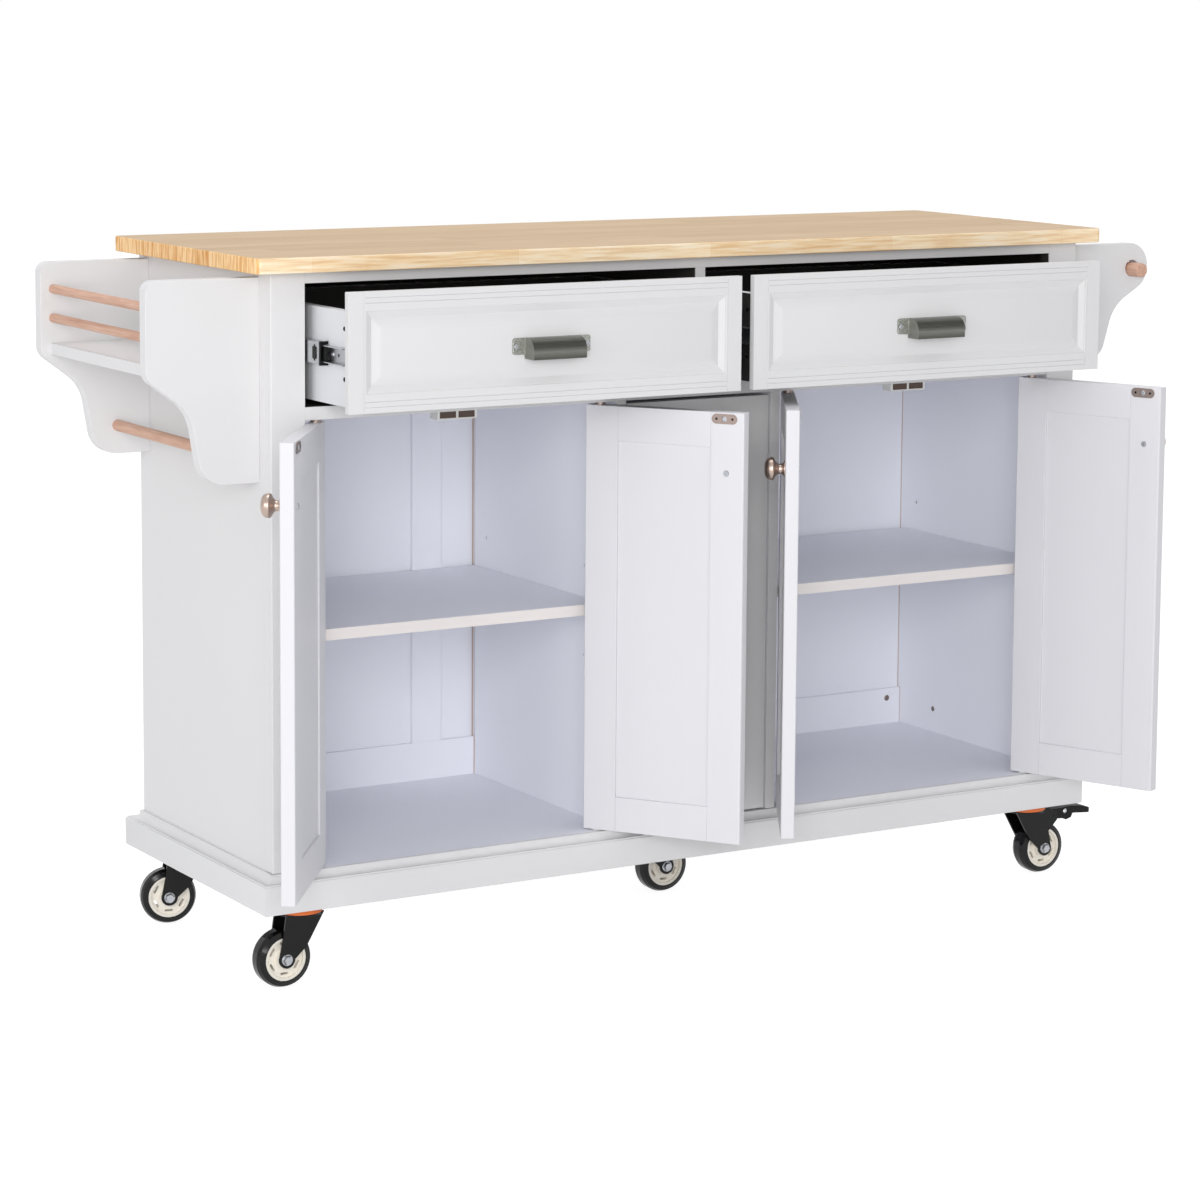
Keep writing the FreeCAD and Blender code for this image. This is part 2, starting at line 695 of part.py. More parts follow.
def drawer_front(side):
    """Board with a moulded frame, a coved sunk margin and a bevelled raised field."""
    left, right = drawer_span(side)
    low = MID_TOP + DRAWER_EDGE_GAP
    high = RAIL_BOTTOM - DRAWER_EDGE_GAP
    face = FACE_Y
    slab = board(left, right, face, DRAWER_BACK_Y, low, high)
    steps = [
        (FRONT_FRAME, 0),
        (FRONT_FRAME, FRONT_COVE_STEP),
        (FRONT_FRAME + FRONT_COVE_STEP, FRONT_COVE_STEP),
        (FRONT_FRAME + FRONT_COVE, FRONT_COVE_DEPTH),
    ]
    sunk = Part.makeBox(right - left - 2 * FRONT_FRAME, FRONT_COVE_STEP, high - low - 2 * FRONT_FRAME,
                        point(left + FRONT_FRAME, face, low + FRONT_FRAME))
    wires = [rectangle(left, right, low, high, inset, face + depth) for inset, depth in steps[2:]]
    sunk = sunk.fuse(Part.makeLoft(wires, True, True))
    field = [
        rectangle(left, right, low, high, FRONT_FRAME + FRONT_COVE, face + FRONT_COVE_DEPTH),
        rectangle(left, right, low, high, FRONT_FRAME + FRONT_COVE + FRONT_BEVEL, face + FRONT_FIELD_DEPTH),
    ]
    return slab.cut(sunk).fuse(Part.makeLoft(field, True, True)).removeSplitter()


def box_span(side):
    """Outer faces of a drawer box, one slide thickness inside its bay."""
    near = side * (DIVIDER_X + SLIDE_THICK)
    far = side * (OPENING_X - SLIDE_THICK)
    return min(near, far), max(near, far)


def drawer_box(side):
    left, right = box_span(side)
    y0 = DRAWER_BACK_Y
    y1 = SLIDE_Y + SLIDE_LENGTH
    z0 = MID_TOP + DRAWER_BOX_LIFT
    z1 = z0 + DRAWER_BOX_HEIGHT
    floor_z = z0 + DRAWER_BOTTOM_LIFT
    tongue = DRAWER_SIDE - DRAWER_GROOVE
    bottom = board(left + tongue, right - tongue, y0, y1 - tongue, floor_z, floor_z + DRAWER_BOTTOM)
    walls = [
        board(left, left + DRAWER_SIDE, y0, y1, z0, z1),
        board(right - DRAWER_SIDE, right, y0, y1, z0, z1),
        board(left + DRAWER_SIDE, right - DRAWER_SIDE, y1 - DRAWER_SIDE, y1, z0, z1),
    ]
    return group([wall.cut(bottom) for wall in walls] + [bottom])


def channel(x0, toward, flange, height, y0):
    """Folded channel of a slide: web at x0, flanges toward the given way."""
    low = SLIDE_MIDDLE - height / 2
    high = SLIDE_MIDDLE + height / 2
    whole = board(x0, x0 + toward * (SLIDE_WALL + flange), y0, y0 + SLIDE_LENGTH, low, high)
    inside = board(x0 + toward * SLIDE_WALL, x0 + toward * (SLIDE_WALL + flange), y0, y0 + SLIDE_LENGTH,
                   low + SLIDE_WALL, high - SLIDE_WALL)
    return whole.cut(inside)


def slide_walls(side=None):
    """Faces that carry a slide: (x, way into the bay) for one bay or for both."""
    walls = []
    for bay in (-1, 1):
        if side in (None, bay):
            walls.append((bay * DIVIDER_X, bay))
            walls.append((bay * OPENING_X, -bay))
    return walls


def slide_outer():
    return group([channel(x, way, SLIDE_OUTER_FLANGE, SLIDE_HEIGHT, SLIDE_Y) for x, way in slide_walls()])


def slide_mid(side):
    """Middle channels, each with its four rows of balls as plain round bars."""
    pieces = []
    half = SLIDE_MID_HEIGHT / 2
    front = SLIDE_Y + BALL_ROW_END
    rear = SLIDE_Y + SLIDE_LENGTH - BALL_ROW_END - BALL_ROW
    for x, way in slide_walls(side):
        web = x + way * SLIDE_MID_START
        pieces.append(channel(web, way, SLIDE_MID_FLANGE, SLIDE_MID_HEIGHT, SLIDE_Y))
        middle = x + way * SLIDE_THICK / 2
        for up in (-1, 1):
            outer_z = SLIDE_MIDDLE + up * (half + BALL_OUTER / 2)
            inner_z = SLIDE_MIDDLE + up * (half - SLIDE_WALL - BALL_INNER / 2)
            pieces.append(rod_y(middle, outer_z, BALL_OUTER / 2, rear, rear + BALL_ROW))
            pieces.append(rod_y(middle, inner_z, BALL_INNER / 2, front, front + BALL_ROW))
    return group(pieces)


def slide_inner(side):
    return group([channel(x + way * SLIDE_THICK, -way, SLIDE_INNER_FLANGE, SLIDE_INNER_HEIGHT, SLIDE_Y)
                  for x, way in slide_walls(side)])


def handle_centre(side):
    left, right = drawer_span(side)
    return (left + right) / 2, (MID_TOP + RAIL_BOTTOM) / 2


def drawer_handle(side):
    """Cup handle: a thin plate with an ear at each end and a hollow hood open below."""
    x, z = handle_centre(side)
    half = HANDLE_PLATE_LENGTH / 2
    high = CUP_RISE
    low = CUP_RISE - HANDLE_PLATE_HEIGHT
    face = FACE_Y + FRONT_FIELD_DEPTH
    ears = [(point(x + a, face, z + b), HANDLE_PLATE_CORNER)
            for a, b in ((-half, low), (half, low), (half, high), (-half, high))]
    plate = solid_from(ears, -BACKWARD * HANDLE_PLATE_THICK)
    x0 = x - CUP_LENGTH / 2
    top = z + CUP_RISE
    foot = top - CUP_HEIGHT
    out = face - CUP_REACH
    wall = CUP_WALL

    def hood(start, drop, shrink, radius):
        base = foot - shrink
        return [
            (point(start, face, top - drop), 0),
            (point(start, out + drop, top - drop - CUP_SLOPE), radius),
            (point(start, out + drop + CUP_TUCK, base), 0),
            (point(start, face, base), 0),
        ]

    shell = solid_from(hood(x0, 0, 0, CUP_RADIUS), RIGHT * CUP_LENGTH)
    hollow = solid_from(hood(x0 + wall, wall, wall, CUP_RADIUS - wall), RIGHT * (CUP_LENGTH - 2 * wall))
    return plate.fuse(shell.cut(hollow)).removeSplitter()


def bracket(side, reach, drops, y0):
    """Side bracket. drops: (reach, drop, radius) from the top outer corner round to the foot."""
    wall = side * OUTER_X
    corners = [(point(wall, y0, BRACKET_TOP), 0)]
    for out, drop, radius in drops:
        corners.append((point(wall + side * out, y0, BRACKET_TOP - drop), radius))
    corners.append((point(wall, y0, BRACKET_TOP - drops[-1][1]), 0))
    return solid_from(corners, BACKWARD * BRACKET_THICK)


def bracket_starts():
    return (RACK_FRONT_Y, RACK_BACK_Y - BRACKET_THICK)


def rack_dowels():
    """Two rails above the spice shelf and the towel rail below it."""
    y0 = RACK_FRONT_Y + BRACKET_THICK - DOWEL_SOCKET
    y1 = RACK_BACK_Y - BRACKET_THICK + DOWEL_SOCKET
    rails = [rod_y(-OUTER_X - DOWEL_REACH, BRACKET_TOP - drop, DOWEL_RADIUS, y0, y1) for drop in DOWEL_DROPS]
    rails.append(rod_y(-OUTER_X - TOWEL_REACH, BRACKET_TOP - TOWEL_DROP, TOWEL_RADIUS, y0, y1))
    return group(rails)


def spice_rack():
    drops = [
        (RACK_REACH, 0, RACK_TOP_RADIUS),
        (RACK_REACH, RACK_BULGE, RACK_BULGE_RADIUS),
        (RACK_KNEE_REACH, RACK_KNEE, RACK_KNEE_RADIUS),
        (RACK_FOOT_REACH, RACK_HEIGHT, RACK_FOOT_RADIUS),
    ]
    rails = rack_dowels()
    pieces = [bracket(-1, RACK_REACH, drops, y0).cut(rails) for y0 in bracket_starts()]
    shelf_z = BRACKET_TOP - RACK_SHELF_TOP
    pieces.append(board(-OUTER_X - RACK_SHELF_REACH, -OUTER_X, RACK_FRONT_Y + BRACKET_THICK,
                        RACK_BACK_Y - BRACKET_THICK, shelf_z - RACK_SHELF_THICK, shelf_z))
    return group(pieces)


def holder_brackets():
    drops = [
        (HOLDER_REACH, 0, HOLDER_TOP_RADIUS),
        (HOLDER_REACH, HOLDER_BULGE, HOLDER_BULGE_RADIUS),
        (HOLDER_KNEE_REACH, HOLDER_KNEE, HOLDER_KNEE_RADIUS),
        (HOLDER_FOOT_REACH, HOLDER_HEIGHT, HOLDER_FOOT_RADIUS),
    ]
    hole = rod_y(OUTER_X + ROD_REACH, BRACKET_TOP - ROD_DROP, ROD_HOLE_RADIUS, 0, TOP_DEPTH)
    return group([bracket(1, HOLDER_REACH, drops, y0).cut(hole) for y0 in bracket_starts()])


def roll_rod():
    """Loose rod that lies in the bottom of the two bracket holes."""
    z = BRACKET_TOP - ROD_DROP - (ROD_HOLE_RADIUS - ROD_RADIUS - CLEAR)
    rod = rod_y(OUTER_X + ROD_REACH, z, ROD_RADIUS, RACK_FRONT_Y - ROD_PROUD, RACK_BACK_Y + ROD_PROUD)
    return rod.makeChamfer(ROD_EASE, [e for e in rod.Edges if e.BoundBox.YLength < RUNNING_GAP])


def place_caster(shape, name):
    """Turn a caster piece about its swivel line and bring it to its corner."""
    x, y = CASTERS[name]
    shape.rotate(point(0, 0, 0), UP, CASTER_TURNS[name])
    shape.translate(point(x, y, 0))
    return shape


def caster_plates():
    plates = []
    for name in CASTERS:
        half_l, half_w = PLATE_LENGTH / 2, PLATE_WIDTH / 2
        z0 = CASTER_HEIGHT - PLATE_THICK
        corners = [(point(a, b, z0), PLATE_CORNER)
                   for a, b in ((-half_l, -half_w), (half_l, -half_w), (half_l, half_w), (-half_l, half_w))]
        plate = solid_from(corners, UP * PLATE_THICK)
        race = Part.makeCylinder(RACE_RADIUS, RACE_HEIGHT, point(0, 0, z0 - RACE_HEIGHT))
        bore = Part.makeCylinder(KING_RADIUS + RUNNING_GAP, CASTER_HEIGHT)
        plate = plate.fuse(race).cut(bore).removeSplitter()
        plate.translate(point(CASTERS[name][0], CASTERS[name][1], 0))
        plates.append(plate)
    return group(plates)


def caster_seals():
    seals = []
    z0 = FORK_TOP + CLEAR
    for name in CASTERS:
        ring = Part.makeCylinder(SEAL_RADIUS, SEAL_THICK, point(0, 0, z0))
        ring = ring.cut(Part.makeCylinder(SEAL_BORE, CASTER_HEIGHT))
        ring.translate(point(CASTERS[name][0], CASTERS[name][1], 0))
        seals.append(ring)
    return group(seals)


def leg_outline(name):
    """Corners of a fork leg seen from the side; a braked fork has a lug for the pedal pin."""
    corners = [(-LEG_BACK, FORK_TOP), (LEG_FRONT, FORK_TOP)]
    if name in BRAKED:
        corners.append((LEG_LUG, PEDAL_PIVOT_HEIGHT + PEDAL_BOSS))
        corners.append((LEG_LUG, PEDAL_PIVOT_HEIGHT - PEDAL_BOSS))
    corners.append((LEG_WAIST_REACH, WHEEL_RADIUS + LEG_WAIST_RISE))
    corners.append((TRAIL + LEG_BOSS, WHEEL_RADIUS))
    corners.append((TRAIL - LEG_BOSS, WHEEL_RADIUS))
    corners.append((-LEG_KNEE_REACH, WHEEL_RADIUS + LEG_KNEE_RISE))
    return corners


def caster_fork(name):
    """Crown with two legs, the king pin on top and the axle bolt across."""
    crown = Part.makeCylinder(CROWN_RADIUS, CROWN_THICK, point(0, 0, FORK_TOP - CROWN_THICK))
    king = Part.makeCylinder(KING_RADIUS, CASTER_HEIGHT - FORK_TOP - CLEAR, point(0, 0, FORK_TOP))
    fork = crown.fuse(king)
    for way in (-1, 1):
        y0 = min(way * FORK_INNER, way * FORK_OUTER)
        leg = solid_from([(point(x, y0, z), 0) for x, z in leg_outline(name)], BACKWARD * LEG_THICK)
        fork = fork.fuse(leg).fuse(rod_y(TRAIL, WHEEL_RADIUS, LEG_BOSS, y0, y0 + LEG_THICK))
    fork = fork.removeSplitter()
    bolt = rod_y(TRAIL, WHEEL_RADIUS, AXLE_RADIUS, -FORK_OUTER, FORK_OUTER)
    fork = fork.cut(bolt)
    if name in BRAKED:
        fork = fork.cut(rod_y(PEDAL_PIVOT_REACH, PEDAL_PIVOT_HEIGHT, PEDAL_PIN_RADIUS + RUNNING_GAP,
                              -FORK_OUTER, FORK_OUTER))
    return place_caster(group([fork, bolt]), name)


def wheel_profile(half):
    return [point(TRAIL, y, WHEEL_RADIUS + radius) for radius, y in half]


def caster_tyre(name):
    edge = WHEEL_WIDTH / 2
    bend = TYRE_SHOULDER * BEND_SHARE
    outer = [(CORE_RADIUS, edge), (WHEEL_RADIUS - TYRE_SHOULDER, edge), (WHEEL_RADIUS - bend, edge - bend),
             (WHEEL_RADIUS, edge - TYRE_SHOULDER)]
    half = outer + [(radius, -y) for radius, y in reversed(outer)]
    tyre = revolved(wheel_profile(half), point(TRAIL, 0, WHEEL_RADIUS), BACKWARD)
    return place_caster(tyre, name)


def caster_core(name):
    bore = AXLE_RADIUS + RUNNING_GAP
    rim = CORE_RADIUS - RIM_THICK
    half = [
        (bore, HUB_HALF), (HUB_RADIUS, HUB_HALF), (HUB_RADIUS, WEB_HALF), (rim, WEB_HALF), (rim, CORE_HALF),
        (CORE_RADIUS, CORE_HALF), (CORE_RADIUS, -CORE_HALF), (rim, -CORE_HALF), (rim, -WEB_HALF),
        (HUB_RADIUS, -WEB_HALF), (HUB_RADIUS, -HUB_HALF), (bore, -HUB_HALF),
    ]
    centre = point(TRAIL, 0, WHEEL_RADIUS)
    core = revolved(wheel_profile(half), centre, BACKWARD)
    for i in range(SLOT_COUNT):
        slot = Part.makeBox(SLOT_LENGTH, WHEEL_WIDTH, SLOT_WIDTH,
                            point(TRAIL - SLOT_LENGTH / 2, -WHEEL_WIDTH / 2,
                                  WHEEL_RADIUS + SLOT_RADIUS - SLOT_WIDTH / 2))
        slot.rotate(centre, BACKWARD, 360 * i / SLOT_COUNT)
        core = core.cut(slot)
    return place_caster(core, name)


def caster_pedal(name):
    """Brake pedal: a boss on a cross pin and a treadle that is hollow from below."""
    px, pz = PEDAL_PIVOT_REACH, PEDAL_PIVOT_HEIGHT
    half = PEDAL_WIDTH / 2
    tip, nose = px + PEDAL_UPPER[-1][0], half - PEDAL_WALL
    side = [(0, PEDAL_RISE)] + list(PEDAL_UPPER) + list(PEDAL_LOWER) + [(0, -PEDAL_BOSS)]
    tread = solid_from([(point(px + x, -half, pz + z), 0) for x, z in side], BACKWARD * PEDAL_WIDTH)
    plan = [(point(px, -half, 0), 0), (point(tip, -half, 0), PEDAL_CORNER),
            (point(tip, half, 0), PEDAL_CORNER), (point(px, half, 0), 0)]
    tread = tread.common(solid_from(plan, UP * CASTER_HEIGHT))
    roof = [(PEDAL_BOSS + PEDAL_WALL, PEDAL_RISE - PEDAL_WALL)]
    roof += [(x, z - PEDAL_WALL) for x, z in PEDAL_UPPER[:2]]
    roof.append((PEDAL_UPPER[2][0] - PEDAL_WALL, PEDAL_UPPER[2][1] - PEDAL_WALL))
    floor = -PEDAL_PIVOT_HEIGHT
    roof = roof + [(roof[-1][0], floor), (roof[0][0], floor)]
    hollow = solid_from([(point(px + x, -nose, pz + z), 0) for x, z in roof], BACKWARD * (nose + nose))
    pedal = tread.cut(hollow)
    pedal = pedal.fuse(rod_y(px, pz, PEDAL_BOSS, CLEAR - FORK_INNER, FORK_INNER - CLEAR))
    pedal = pedal.fuse(rod_y(px, pz, PEDAL_PIN_RADIUS, -FORK_OUTER, FORK_OUTER)).removeSplitter()
    return place_caster(pedal, name)


def door_table():
    """Four doors from left to right. hinge_side 1: hinged at the left end of its own half."""
    doors = []
    spans = (
        (-OPENING_X + DOOR_GAP, 1),
        (-PARTITION_X - DOOR_GAP - DOOR_WIDTH, -1),
        (PARTITION_X + DOOR_GAP, 1),
        (OPENING_X - DOOR_GAP - DOOR_WIDTH, -1),
    )
    for (left, hinge_side), angle in zip(spans, DOOR_ANGLES):
        hinge_edge = left if hinge_side > 0 else left + DOOR_WIDTH
        free_edge = left + DOOR_WIDTH if hinge_side > 0 else left
        doors.append({"left": left, "hinge_side": hinge_side, "angle": angle,
                      "pivot": hinge_edge + hinge_side * PIVOT_INSET, "free": free_edge})
    return doors


CASTER_X = PLINTH_X - CASTER_INSET_X
CASTERS = {
    "front_left": (-CASTER_X, PLINTH_FRONT_Y + CASTER_INSET_Y),
    "front_right": (CASTER_X, PLINTH_FRONT_Y + CASTER_INSET_Y),
    "rear_left": (-CASTER_X, PLINTH_BACK_Y - CASTER_INSET_Y),
    "rear_right": (CASTER_X, PLINTH_BACK_Y - CASTER_INSET_Y),
    "middle": (MIDDLE_CASTER_SHIFT, (PLINTH_FRONT_Y + PLINTH_BACK_Y) / 2),
}
DOORS = door_table()


def moved(shape, travel):
    """A drawer piece pulled forward."""
    shape.translate(-BACKWARD * travel)
    return shape


def all_nodes():
    nodes = {
        "worktop": worktop(),
        "side_panels": side_panels(),
        "face_stiles": face_stiles(),
        "top_rails": top_rails(),
        "mid_board": mid_board(),
        "floor_boards": floor_boards(),
        "partitions": partitions(),
        "back_frame": back_frame(),
        "back_panels": back_panels(),
        "plinth_boards": plinth_boards(),
        "shelves": shelves(),
        "shelf_pegs": shelf_pegs(),
        "middle_panel": middle_panel(),
        "spice_rack": spice_rack(),
        "rack_dowels": rack_dowels(),
        "holder_brackets": holder_brackets(),
        "slide_outer": slide_outer(),
        "magnet_catches": magnet_catches(),
        "caster_plates": caster_plates(),
        "caster_seals": caster_seals(),
        "roll_rod": roll_rod(),
    }
    for label, side in (("left", -1), ("right", 1)):
        nodes["drawer_front_" + label] = moved(drawer_front(side), DRAWER_PULL)
        nodes["drawer_box_" + label] = moved(drawer_box(side), DRAWER_PULL)
        nodes["drawer_handle_" + label] = moved(drawer_handle(side), DRAWER_PULL)
        nodes["slide_inner_" + label] = moved(slide_inner(side), DRAWER_PULL)
        nodes["slide_mid_" + label] = moved(slide_mid(side), DRAWER_PULL * SLIDE_SHARE)
    for number, door in enumerate(DOORS, 1):
        nodes["door_%d" % number] = door_leaf(door)
        nodes["door_%d_knob" % number] = door_knob(door)
        nodes["door_%d_fittings" % number] = door_fittings(door)
    for name in CASTERS:
        nodes["caster_fork_" + name] = caster_fork(name)
        nodes["caster_tyre_" + name] = caster_tyre(name)
        nodes["caster_core_" + name] = caster_core(name)
        if name in BRAKED:
            nodes["caster_pedal_" + name] = caster_pedal(name)
    return nodes


def middle_of(nodes):
    """How far the pieces move so that their common box is centred on the origin in plan."""
    whole = group(list(nodes.values())).BoundBox
    return point(-(whole.XMin + whole.XMax) / 2, -(whole.YMin + whole.YMax) / 2, 0)


def main():
    nodes = all_nodes()
    shift = middle_of(nodes)
    os.makedirs("parts", exist_ok=True)
    for name, shape in nodes.items():
        shape.translate(shift)
        shape.exportStep("parts/" + name + ".step")


if __name__ == "__main__":
    main()
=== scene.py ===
# %% [markdown]
# A rolling kitchen island, dressed for the camera.
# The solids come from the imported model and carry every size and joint. This script gives them
# their finishes, eases the sharp edges of the boards as sandpaper does, and adds the small pieces
# that a workshop would add last: screws, bolt heads, rivets and the plastic parts of the slides.

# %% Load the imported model
import bpy
import bmesh
import json
import math
from mathutils import Matrix, Vector

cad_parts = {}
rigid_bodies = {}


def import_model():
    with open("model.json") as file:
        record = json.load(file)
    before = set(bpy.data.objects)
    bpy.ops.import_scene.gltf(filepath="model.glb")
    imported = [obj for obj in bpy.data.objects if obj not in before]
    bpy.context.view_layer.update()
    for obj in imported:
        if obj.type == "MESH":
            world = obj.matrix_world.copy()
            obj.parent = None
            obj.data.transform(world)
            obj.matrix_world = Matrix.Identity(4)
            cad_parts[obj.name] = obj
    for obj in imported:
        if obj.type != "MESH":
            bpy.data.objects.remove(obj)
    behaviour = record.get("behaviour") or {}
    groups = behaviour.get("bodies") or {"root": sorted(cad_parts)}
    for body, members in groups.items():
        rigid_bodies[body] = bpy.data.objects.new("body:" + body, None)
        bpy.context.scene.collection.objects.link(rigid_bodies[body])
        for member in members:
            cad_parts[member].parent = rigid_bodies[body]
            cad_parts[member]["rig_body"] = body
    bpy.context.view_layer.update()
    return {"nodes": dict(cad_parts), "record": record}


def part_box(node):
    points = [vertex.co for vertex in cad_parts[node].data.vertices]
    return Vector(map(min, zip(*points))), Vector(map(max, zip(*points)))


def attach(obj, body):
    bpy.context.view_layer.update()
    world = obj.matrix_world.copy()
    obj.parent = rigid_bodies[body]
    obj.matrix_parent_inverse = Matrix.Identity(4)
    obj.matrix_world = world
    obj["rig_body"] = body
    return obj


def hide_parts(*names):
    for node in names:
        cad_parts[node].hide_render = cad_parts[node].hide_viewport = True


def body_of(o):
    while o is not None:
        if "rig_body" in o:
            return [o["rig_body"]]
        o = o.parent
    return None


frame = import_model()
nodes = frame["nodes"]
slots = {row["node"]: row["material_slot"] for row in frame["record"]["subparts"]}
bodies = {name: body_of(node)[0] for name, node in nodes.items()}

# %% [markdown]
# Drawings of furniture are in millimetres from a corner or a centre line. Here they start at the
# middle of the worktop's front edge, on the floor, and one function turns them into the metres of
# the frame, so that every piece below can be read like a drawing.

# %% Places in millimetres
MM = 0.001
TOP_LOW, TOP_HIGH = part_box("worktop")
DATUM = Vector(((TOP_LOW.x + TOP_HIGH.x) / 2, TOP_LOW.y, 0))


def at(x, y, z):
    """A place in millimetres from the middle of the worktop's front edge, as metres."""
    return DATUM + Vector((x, y, z)) * MM


print("datum", [round(v, 5) for v in DATUM])

# %% [markdown]
# Colours are written as a painter would read them off a screen, in sRGB hex, and one function
# turns them into the linear values that the shader works with. A second small function adds a
# node, sets it and links it, and every material and every geometry tree below is built with it.

# %% Helpers for colours and nodes
def linear(text):
    """An sRGB hex colour as linear red, green, blue and alpha."""
    channels = [int(text[i:i + 2], 16) / 255 for i in (1, 3, 5)]
    return [c / 12.92 if c <= 0.04045 else ((c + 0.055) / 1.055) ** 2.4 for c in channels] + [1.0]


def add(tree, kind, inputs=None, **settings):
    """One node: settings are its own, inputs are values or the sockets that feed it."""
    node = tree.nodes.new(kind)
    for name, value in settings.items():
        setattr(node, name, value)
    for name, value in (inputs or {}).items():
        if isinstance(value, bpy.types.NodeSocket):
            tree.links.new(value, node.inputs[name])
        else:
            node.inputs[name].default_value = value
    return node


def new_finish(name, colour, roughness, **sockets):
    """A material with one Principled shader. sockets are its other inputs by name."""
    material = bpy.data.materials.new(name)
    material.use_nodes = True
    tree = material.node_tree
    tree.nodes.clear()
    values = {"Base Color": linear(colour), "Roughness": roughness}
    values.update({key.replace("_", " "): value for key, value in sockets.items()})
    shader = add(tree, "ShaderNodeBsdfPrincipled", values)
    add(tree, "ShaderNodeOutputMaterial", {"Surface": shader.outputs["BSDF"]})
    place = add(tree, "ShaderNodeTexCoord").outputs["Object"]
    return material, tree, shader, place


def per_metre(size):
    """The scale of a pattern whose grain is this many millimetres."""
    return 1 / (size * MM)


def relief(tree, shader, height, depth):
    """Bump whose full height is this many millimetres."""
    bump = add(tree, "ShaderNodeBump", {"Height": height, "Distance": depth * MM})
    tree.links.new(bump.outputs["Normal"], shader.inputs["Normal"])


def shades(tree, factor, stops):
    """Colour ramp through (position, hex colour) stops."""
    ramp = add(tree, "ShaderNodeValToRGB", {"Fac": factor})
    points = ramp.color_ramp.elements
    points.remove(points[1])
    points[0].position, points[0].color = stops[0][0], linear(stops[0][1])
    for position, text in stops[1:]:
        points.new(position).color = linear(text)
    return ramp.outputs["Color"]


def mixed(tree, factor, first, second):
    """first where factor is 0, second where it is 1."""
    node = add(tree, "ShaderNodeMixRGB", {"Fac": factor, "Color1": first, "Color2": second})
    return node.outputs["Color"]


def noise(tree, place, size, detail=2.0):
    """Even noise whose grain is this many millimetres."""
    node = add(tree, "ShaderNodeTexNoise", {"Vector": place, "Scale": per_metre(size), "Detail": detail})
    return node.outputs["Fac"]


def streaks(tree, place, size, detail=4.0, turn=(0, 0, 0)):
    """Noise whose grain is so many millimetres along x, y and z, after a turn of the pattern."""
    scale = tuple(per_metre(length) for length in size)
    mapped = add(tree, "ShaderNodeMapping", {"Vector": place, "Rotation": turn, "Scale": scale})
    node = add(tree, "ShaderNodeTexNoise", {"Vector": mapped.outputs["Vector"], "Scale": 1.0,
                                            "Detail": detail, "Roughness": 0.6})
    return node.outputs["Fac"]


def maths(tree, operation, first, second=0.0):
    """One operation on two values or sockets."""
    return add(tree, "ShaderNodeMath", {0: first, 1: second}, operation=operation).outputs[0]


def between(tree, value, low, high):
    """1 where value is over low and under high, else 0."""
    over = maths(tree, "GREATER_THAN", value, low)
    under = maths(tree, "LESS_THAN", value, high)
    return maths(tree, "MULTIPLY", over, under)


def inside(tree, place, low, high):
    """1 inside a box whose corners are drawing millimetres, with the x range taken on both hands."""
    axes = add(tree, "ShaderNodeSeparateXYZ", {"Vector": place}).outputs
    side = maths(tree, "ABSOLUTE", maths(tree, "SUBTRACT", axes["X"], DATUM.x))
    share = between(tree, side, low[0] * MM, high[0] * MM)
    low_corner, high_corner = at(0, *low[1:]), at(0, *high[1:])
    for i, axis in ((1, "Y"), (2, "Z")):
        within = between(tree, axes[axis], low_corner[i], high_corner[i])
        share = maths(tree, "MULTIPLY", share, within)
    return share


# %% [markdown]
# The body is sprayed with a satin white paint over board. The eye gets an even, slightly cool
# white with a soft sheen, and close up the faint dimples that a spray gun leaves. Behind the
# drawers the board is painted dark grey-brown and the inside of the drawer boxes dark grey, as
# painted shade for the deep bays that little light reaches. Inside the cupboards the white is a
# brighter, cooler copy of the outside paint, which is painted light. In the back corners of the
# cupboards the paint doesn't close over the joint, which leaves a thin brown line, and the shelves
# have a cream edge band. The doors get a slightly cooler copy of the white, a painted cool cast of
# light, and the drawer fronts a slightly darker copy, which is painted shade.

# %% White satin paint and board
# Painted shade: dark grey-brown for the board behind the drawers and dark grey for the inside of the
# drawer boxes, where little light reaches.
DRAWER_BAY_SHADE = "#3B3A37"
DRAWER_BOX_SHADE = "#2B2C2B"
# Painted light: a brighter, cooler copy of the white for the inside of the cupboards.
INTERIOR_PAINTED_LIGHT_WHITE = "#F4F5FC"
OUTER_WHITE = "#DFDEDE"
JOINT_BROWN = "#C9B2A4"
EDGE_BAND = "#E5DFDC"
THIN_COAT = 0.98
SATIN, MATT = 0.42, 0.5


def painted(name, colour, roughness, patches=()):
    """Sprayed paint. Each patch is a colour and the box that it fills, from low to high in millimetres."""
    material, tree, shader, place = new_finish(name, colour, roughness, Specular_IOR_Level=0.35)
    thin_coat = [c * THIN_COAT for c in linear(colour)[:3]] + [1.0]
    coat = mixed(tree, noise(tree, place, 180), thin_coat, linear(colour))
    for patch, low, high in patches:
        coat = mixed(tree, inside(tree, place, low, high), coat, linear(patch))
    tree.links.new(coat, shader.inputs["Base Color"])
    relief(tree, shader, noise(tree, place, 3, 1.0), 0.02)
    return material


# Half widths, depths and heights of the carcass that the patches are bounded by.
WALL_FACE = 610.4
BACK_MIDDLE = 413.0
CARCASS_BACK = 430.0
MIDDLE_BOARD = 739.4
CUPBOARD_FOOT = 100.0

# Painted shade in the drawer bays, on the body's paint and on the inner boards.
PAINTED_SHADE_IN_DRAWER_BAYS = (DRAWER_BAY_SHADE, (0, 24, MIDDLE_BOARD), (WALL_FACE, BACK_MIDDLE, 907.9))
